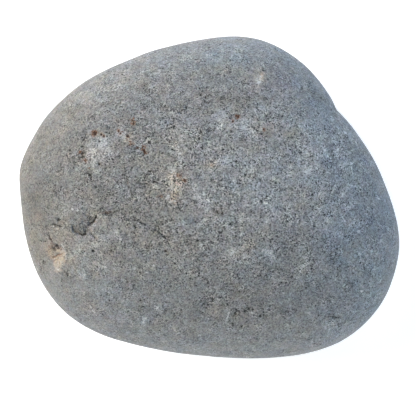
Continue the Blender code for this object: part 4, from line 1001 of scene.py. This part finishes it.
def lay_map(mesh, cube):
    """The texture map: one square for each side of the cube, with the most room for the upper one."""
    rooms = {  # axis, sign -> left, bottom, width, height
        (2, 1): (0.0, 0.0, 0.66, 0.66),
        (2, -1): (0.66, 0.0, 0.34, 0.34),
        (0, 1): (0.66, 0.34, 0.34, 0.32),
        (0, -1): (0.0, 0.66, 0.34, 0.34),
        (1, 1): (0.34, 0.66, 0.33, 0.34),
        (1, -1): (0.67, 0.66, 0.33, 0.34),
    }
    loops = len(mesh.loops)
    vertex = np.empty(loops, np.int32)
    mesh.loops.foreach_get("vertex_index", vertex)
    starts = np.empty(len(mesh.polygons), np.int32)
    totals = np.empty(len(mesh.polygons), np.int32)
    mesh.polygons.foreach_get("loop_start", starts)
    mesh.polygons.foreach_get("loop_total", totals)
    face = np.repeat(np.arange(len(starts)), totals)
    corner = cube[vertex]
    middle = np.zeros((len(starts), 3))
    np.add.at(middle, face, corner)
    axis = np.abs(middle).argmax(axis=1)
    sign = np.sign(middle[np.arange(len(middle)), axis]).astype(int)
    uv = np.zeros((loops, 2))
    pad = 0.004
    for (ax, sg), (left, bottom, wide, tall) in rooms.items():
        mine = (axis[face] == ax) & (sign[face] == sg)
        a, b = [k for k in range(3) if k != ax]
        s = (corner[mine, a] + 1) / 2
        t = (corner[mine, b] + 1) / 2
        uv[mine, 0] = left + pad + s * (wide - 2 * pad)
        uv[mine, 1] = bottom + pad + t * (tall - 2 * pad)
    layer = mesh.uv_layers.new(name="OFBake")
    layer.data.foreach_set("uv", uv.astype(np.float32).ravel())


# ---------------------------------------------------------------- material


def srgb(r, g, b):
    def linear(c):
        c /= 255
        return c / 12.92 if c <= 0.04045 else ((c + 0.055) / 1.055) ** 2.4

    return (linear(r), linear(g), linear(b), 1.0)


class Tree:
    """Short names for building a material's nodes."""

    def __init__(self, material):
        self.nodes, self.links = material.node_tree.nodes, material.node_tree.links

    def add(self, kind, **settings):
        node = self.nodes.new(kind)
        for name, value in settings.items():
            setattr(node, name, value)
        return node

    def feed(self, socket, value):
        if isinstance(value, bpy.types.NodeSocket):
            self.links.new(value, socket)
        elif value is not None:
            socket.default_value = value

    def math(self, operation, *values, clamp=False):
        node = self.add("ShaderNodeMath", operation=operation, use_clamp=clamp)
        for socket, value in zip(node.inputs, values):
            self.feed(socket, value)
        return node.outputs[0]

    def mix(self, factor, a, b, blend="MIX"):
        node = self.add("ShaderNodeMix", data_type="RGBA", blend_type=blend)
        self.feed(node.inputs["Factor"], factor)
        self.feed(node.inputs[6], a)
        self.feed(node.inputs[7], b)
        return node.outputs[2]

    def attribute(self, name, output="Fac"):
        return self.add("ShaderNodeAttribute", attribute_name=name).outputs[output]

    def noise(self, vector, size, detail=2.0, rough=0.5, warp=0.0):
        node = self.add("ShaderNodeTexNoise")
        self.feed(node.inputs["Vector"], vector)
        node.inputs["Scale"].default_value = 1 / size
        node.inputs["Detail"].default_value = detail
        node.inputs["Roughness"].default_value = rough
        node.inputs["Distortion"].default_value = warp
        return node

    def cells(self, vector, size, feature="F1", jitter=1.0):
        node = self.add("ShaderNodeTexVoronoi", feature=feature)
        self.feed(node.inputs["Vector"], vector)
        node.inputs["Scale"].default_value = 1 / size
        node.inputs["Randomness"].default_value = jitter
        return node

    def ramp(self, value, *stops, interpolation="LINEAR"):
        node = self.add("ShaderNodeValToRGB")
        node.color_ramp.interpolation = interpolation
        points = node.color_ramp.elements
        while len(points) < len(stops):
            points.new(0.5)
        for point, (position, colour) in zip(points, stops):
            point.position = position
            point.color = colour if len(colour) == 4 else (*colour, 1)
        self.feed(node.inputs["Fac"], value)
        return node.outputs["Color"]

    def spread(self, value, low, high, to_low=0.0, to_high=1.0):
        node = self.add("ShaderNodeMapRange", interpolation_type="SMOOTHSTEP")
        self.feed(node.inputs["Value"], value)
        for name, number in (
            ("From Min", low),
            ("From Max", high),
            ("To Min", to_low),
            ("To Max", to_high),
        ):
            self.feed(node.inputs[name], number)
        return node.outputs["Result"]

    def channels(self, colour):
        node = self.add("ShaderNodeSeparateColor")
        self.feed(node.inputs[0], colour)
        return node.outputs

    def parts(self, name):
        """The three values that a mesh attribute holds."""
        node = self.add("ShaderNodeSeparateXYZ")
        self.feed(node.inputs[0], self.attribute(name, "Vector"))
        return node.outputs


def grey(value):
    return (value, value, value, 1)


def stone_material():
    material = bpy.data.materials.new("water_worn_sandstone")
    material.use_nodes = True
    t = Tree(material)
    shader = t.nodes["Principled BSDF"]
    place = t.add("ShaderNodeTexCoord").outputs["Object"]
    millimetres = t.add("ShaderNodeVectorMath", operation="SCALE")
    t.feed(millimetres.inputs[0], place)
    millimetres.inputs["Scale"].default_value = 1000.0
    mm = millimetres.outputs[0]

    # These attributes also carry painted light: shade in the dark marks, the tone patches and the recess value, and a
    # highlight in the pale marks and the cream on the chipped hollow's lip.
    rust, pale_grain_and_highlight, dark_and_shade = t.parts("spots")
    tone_and_shade, warm, fresh = t.parts("patches")
    recess_shade, crisp, cream_and_highlight = t.parts("recess_shade_crisp_cream")

    # Sand grains: two sizes of cell, each cell one grain with its own shade, and open pores between them.
    bend = t.add("ShaderNodeVectorMath", operation="MULTIPLY_ADD")
    t.feed(bend.inputs[0], t.noise(mm, 0.36, 1.0, 0.6).outputs["Color"])
    bend.inputs[1].default_value = (0.34, 0.34, 0.34)
    t.feed(bend.inputs[2], mm)
    bent = bend.outputs[0]
    rugged = t.noise(mm, 2.3, 1.0, 0.5).outputs["Fac"]
    crisp = t.math("MULTIPLY", crisp, t.spread(rugged, 0.32, 0.68, 0.84, 1.34))
    coarse = t.cells(bent, 0.28)
    fine = t.cells(mm, 0.18)
    pores = t.cells(bent, 0.60)
    pricks = t.cells(bent, 0.43)
    coarse_random = t.channels(coarse.outputs["Color"])
    fine_random = t.channels(fine.outputs["Color"])
    pore_random = t.channels(pores.outputs["Color"])
    prick_random = t.channels(pricks.outputs["Color"])
    shade = t.math("MULTIPLY", coarse_random[0], 0.27)
    shade = t.math("MULTIPLY_ADD", fine_random[0], 0.73, shade)
    shade = t.math("MULTIPLY_ADD", tone_and_shade, 0.35, shade)
    grain = t.ramp(
        shade,
        (0.00, (0.08, 0.085, 0.09)),
        (0.16, (0.32, 0.33, 0.34)),
        (0.32, (0.74, 0.75, 0.76)),
        (0.52, (1.08, 1.08, 1.08)),
        (0.76, (1.48, 1.465, 1.45)),
        (1.00, (2.05, 2.02, 1.98)),
    )
    patchy = t.noise(mm, 0.9, 2.0, 0.65).outputs["Fac"]
    cream_and_highlight = t.math("ADD", cream_and_highlight, t.math("MULTIPLY_ADD", patchy, 1.3, -0.65))
    cream_and_highlight = t.spread(cream_and_highlight, 0.10, 0.95)
    calm = t.math("MULTIPLY_ADD", cream_and_highlight, 0.20, t.spread(fresh, 0.0, 1.0, 0.38, 0.0))
    grain = t.mix(calm, grain, grey(1.0))
    power = t.add("ShaderNodeGamma")
    t.feed(power.inputs["Color"], grain)
    t.feed(power.inputs["Gamma"], crisp)
    grain = power.outputs["Color"]

    narrow = t.spread(pore_random[2], 0.45, 1.0, 1.06, 0.76)
    open_pore = t.math("MULTIPLY", pores.outputs["Distance"], narrow)
    open_pore = t.spread(open_pore, 0.20, 0.30, 1.0, 0.0)
    crowd = t.spread(rugged, 0.32, 0.68, 0.74, 0.38)
    chosen = t.math("GREATER_THAN", pore_random[0], crowd)
    open_pore = t.math("MULTIPLY", open_pore, chosen)
    open_pore = t.math("MULTIPLY", open_pore, t.spread(pore_random[1], 0, 1, 0.6, 1))
    open_pore = t.math("MULTIPLY", open_pore, t.spread(fresh, 0.1, 0.7, 0.72, 1.0))
    prick = t.spread(pricks.outputs["Distance"], 0.22, 0.36, 1.0, 0.0)
    crowd = t.spread(rugged, 0.32, 0.68, 0.86, 0.60)
    prick = t.math("MULTIPLY", prick, t.math("GREATER_THAN", prick_random[0], crowd))
    prick = t.math("MULTIPLY", prick, t.spread(fresh, 0.1, 0.7, 0.38, 1.0))
    open_pore = t.math("MAXIMUM", open_pore, prick)
    open_pore = t.math("MULTIPLY", open_pore, crisp, clamp=True)

    # Clouds of lighter and darker stone, from a few millimetres down to the grains, over the broad patches and their
    # painted shade.
    tones_and_shade = t.math("MULTIPLY_ADD", tone_and_shade, 1.25, 1.0)
    for size, amount, detail in ((5.0, 0.50, 2.0), (1.9, 0.64, 1.0), (0.8, 0.56, 1.0)):
        cloud = t.noise(mm, size, detail, 0.55).outputs["Fac"]
        cloud = t.math("ADD", cloud, -0.5)
        cloud = t.math("MULTIPLY", cloud, t.math("MULTIPLY_ADD", calm, -0.5, crisp))
        tones_and_shade = t.math("MULTIPLY", tones_and_shade, t.math("MULTIPLY_ADD", cloud, amount, 1.0))
    # Warm and cool stone, and a little green and plum.
    big = t.channels(t.noise(mm, 2.6, 2.0, 0.6).outputs["Color"])
    small = t.channels(t.noise(mm, 0.62, 1.0, 0.5).outputs["Color"])
    heat = t.math("MULTIPLY_ADD", big[0], 0.26, -0.13)
    heat = t.math("ADD", heat, t.math("MULTIPLY_ADD", small[0], 0.12, -0.06))
    heat = t.math("MULTIPLY_ADD", warm, 0.080, heat)
    green = t.math("MULTIPLY_ADD", small[1], 0.17, -0.085)
    medium = t.noise(mm, 1.5, 1.0, 0.5).outputs["Fac"]
    green = t.math("ADD", green, t.math("MULTIPLY_ADD", medium, 0.12, -0.06))
    green = t.math("ADD", green, t.math("MULTIPLY_ADD", big[1], 0.09, -0.045))
    green = t.math("MULTIPLY_ADD", t.parts("hues")[0], 0.016, green)
    red_part = t.math("ADD", heat, 1.0)
    blue_part = t.math("MULTIPLY_ADD", heat, -1.0, 1.0)
    green_part = t.math("ADD", t.math("MULTIPLY_ADD", heat, 0.15, 1.0), green)
    tint = t.add("ShaderNodeCombineColor")
    for socket, part in zip(tint.inputs, (red_part, green_part, blue_part)):
        t.feed(socket, t.math("MULTIPLY", part, tones_and_shade))

    # Cream stone, and on the chipped hollow's lip partly a painted highlight.
    base = t.mix(cream_and_highlight, srgb(134.3, 134.9, 133.3), srgb(171, 161, 150))
    colour = t.mix(1.0, base, grain, "MULTIPLY")
    colour = t.mix(1.0, colour, tint.outputs[0], "MULTIPLY")
    colour = t.mix(t.math("MULTIPLY", open_pore, 0.94), colour, srgb(34, 36, 38))

    # Painted shade: cracks, pits, the chipped hollow and the gaps between broken lumps are darkened to brown-grey.
    colour = t.mix(t.spread(recess_shade, 0.10, 0.85, 0.0, 0.78), colour, srgb(50, 48, 44))

    # Marked grains: pale, dark and rusty ones, with edges that follow the grains. The dark marks also paint shade in
    # pit mouths, along the crack and at the chipped hollow's edge; the pale ones partly paint a highlight on its lip.
    ragged = t.math("MULTIPLY_ADD", fine_random[2], 0.42, -0.21)
    speckle = t.noise(mm, 0.38, 1.0, 0.6).outputs["Fac"]
    ragged = t.math("ADD", ragged, t.math("MULTIPLY_ADD", speckle, 0.36, -0.18))
    # Pale grains, and partly a painted highlight on the chipped hollow's lip.
    pale = t.spread(t.math("ADD", pale_grain_and_highlight, ragged), 0.22, 0.50, 0.0, 0.84)
    colour = t.mix(pale, colour, srgb(206, 207, 205))
    halo = t.spread(t.math("ADD", rust, ragged), 0.08, 0.44, 0.0, 0.38)
    colour = t.mix(halo, colour, srgb(142, 100, 68))
    stain = t.spread(t.math("ADD", rust, ragged), 0.32, 0.58, 0.0, 0.90)
    rust_colour = t.mix(coarse_random[2], srgb(98, 58, 33), srgb(148, 95, 60))
    core = t.spread(t.math("MULTIPLY_ADD", ragged, 0.8, rust), 0.42, 0.68, 0.0, 0.94)
    rust_colour = t.mix(core, rust_colour, srgb(42, 23, 13))
    colour = t.mix(stain, colour, rust_colour)
    # Dark grains, with painted shade in pit mouths, along the crack and at the chipped hollow's edge.
    black_grain_and_shade = t.spread(t.math("ADD", dark_and_shade, ragged), 0.28, 0.50, 0.0, 0.92)
    colour = t.mix(black_grain_and_shade, colour, srgb(38, 38, 38))
    t.feed(shader.inputs["Base Color"], colour)

    rough = t.math("MULTIPLY_ADD", fine_random[1], 0.16, 0.72)
    t.feed(shader.inputs["Roughness"], rough)

    lump = t.math("MULTIPLY", coarse_random[1], 0.012)
    lump = t.math("MULTIPLY_ADD", fine_random[1], 0.007, lump)
    dust = t.noise(mm, 0.34, 2.0, 0.6).outputs["Fac"]
    lump = t.math("MULTIPLY_ADD", dust, 0.032, lump)
    lump = t.math("MULTIPLY", lump, crisp)
    lump = t.math("MULTIPLY_ADD", open_pore, -0.050, lump)
    bump = t.add("ShaderNodeBump")
    bump.inputs["Strength"].default_value = 1.0
    bump.inputs["Distance"].default_value = 0.001
    t.feed(bump.inputs["Height"], lump)
    t.feed(shader.inputs["Normal"], bump.outputs["Normal"])
    shader.inputs["Specular IOR Level"].default_value = 0.4
    return material


# ---------------------------------------------------------------- studio


def make_floor():
    mesh = bpy.data.meshes.new("studio_floor")
    size = 6.0
    mesh.from_pydata(
        [(-size, -size, 0), (size, -size, 0), (size, size, 0), (-size, size, 0)],
        [],
        [(0, 1, 2, 3)],
    )
    floor = bpy.data.objects.new("studio_floor", mesh)
    floor.location.z = -0.00004
    bpy.context.scene.collection.objects.link(floor)
    material = bpy.data.materials.new("studio_white")
    material.use_nodes = True
    shader = material.node_tree.nodes["Principled BSDF"]
    shader.inputs["Base Color"].default_value = (0.86, 0.86, 0.86, 1)
    shader.inputs["Roughness"].default_value = 0.9
    shader.inputs["Specular IOR Level"].default_value = 0.0
    shader.inputs["Emission Color"].default_value = (1, 1, 1, 1)
    shader.inputs["Emission Strength"].default_value = 0.60
    mesh.materials.append(material)


def make_lamp(name, azimuth, elevation, spread, colour):
    """A soft light from far away: its colour is also how bright it is."""
    data = bpy.data.lights.new(name, "SUN")
    data.angle = math.radians(spread)
    data.energy = max(colour)
    data.color = [c / max(colour) for c in colour]
    lamp = bpy.data.objects.new(name, data)
    a, e = math.radians(azimuth), math.radians(elevation)
    away = Vector((math.cos(e) * math.cos(a), math.cos(e) * math.sin(a), math.sin(e)))
    lamp.location = away
    lamp.rotation_euler = away.to_track_quat("Z", "Y").to_euler()
    bpy.context.scene.collection.objects.link(lamp)


def make_backdrop():
    """A pale dome, seen only by the camera, so that low views have a plain background."""
    bm = bmesh.new()
    bmesh.ops.create_uvsphere(bm, u_segments=48, v_segments=24, radius=4.2)
    bmesh.ops.reverse_faces(bm, faces=bm.faces[:])
    mesh = bpy.data.meshes.new("studio_backdrop")
    bm.to_mesh(mesh)
    bm.free()
    dome = bpy.data.objects.new("studio_backdrop", mesh)
    bpy.context.scene.collection.objects.link(dome)
    material = bpy.data.materials.new("studio_backdrop")
    material.use_nodes = True
    shader = material.node_tree.nodes["Principled BSDF"]
    shader.inputs["Base Color"].default_value = (0, 0, 0, 1)
    shader.inputs["Specular IOR Level"].default_value = 0.0
    shader.inputs["Emission Color"].default_value = (1, 1, 1, 1)
    shader.inputs["Emission Strength"].default_value = 0.94
    mesh.materials.append(material)
    dome.visible_diffuse = False
    dome.visible_glossy = False
    dome.visible_transmission = False
    dome.visible_shadow = False


def make_world():
    world = bpy.data.worlds.new("studio")
    world.use_nodes = True
    background = world.node_tree.nodes["Background"]
    background.inputs["Color"].default_value = (0.96, 1.0, 1.06, 1)
    background.inputs["Strength"].default_value = 0.10
    bpy.context.scene.world = world


def main():
    bpy.context.scene.view_settings.view_transform = "Standard"
    bpy.context.scene.view_settings.look = "None"
    make_camera()
    make_world()
    make_lamp("key", 150, 30, 55, (3.25, 2.95, 2.55))
    make_lamp("low_fill", 280, 30, 55, (1.55, 1.75, 1.95))
    make_lamp("cool_fill", 60, 20, 45, (0.80, 1.35, 2.10))
    make_backdrop()
    make_floor()

    mesh = make_stone()
    shape_stone(mesh)
    mesh.shade_smooth()
    mesh.materials.append(stone_material())
    stone = bpy.data.objects.new("pebble_stone", mesh)
    bpy.context.scene.collection.objects.link(stone)
    print("stone triangles:", sum(len(p.vertices) - 2 for p in mesh.polygons))
    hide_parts("pebble")
    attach(stone, "root")


main()
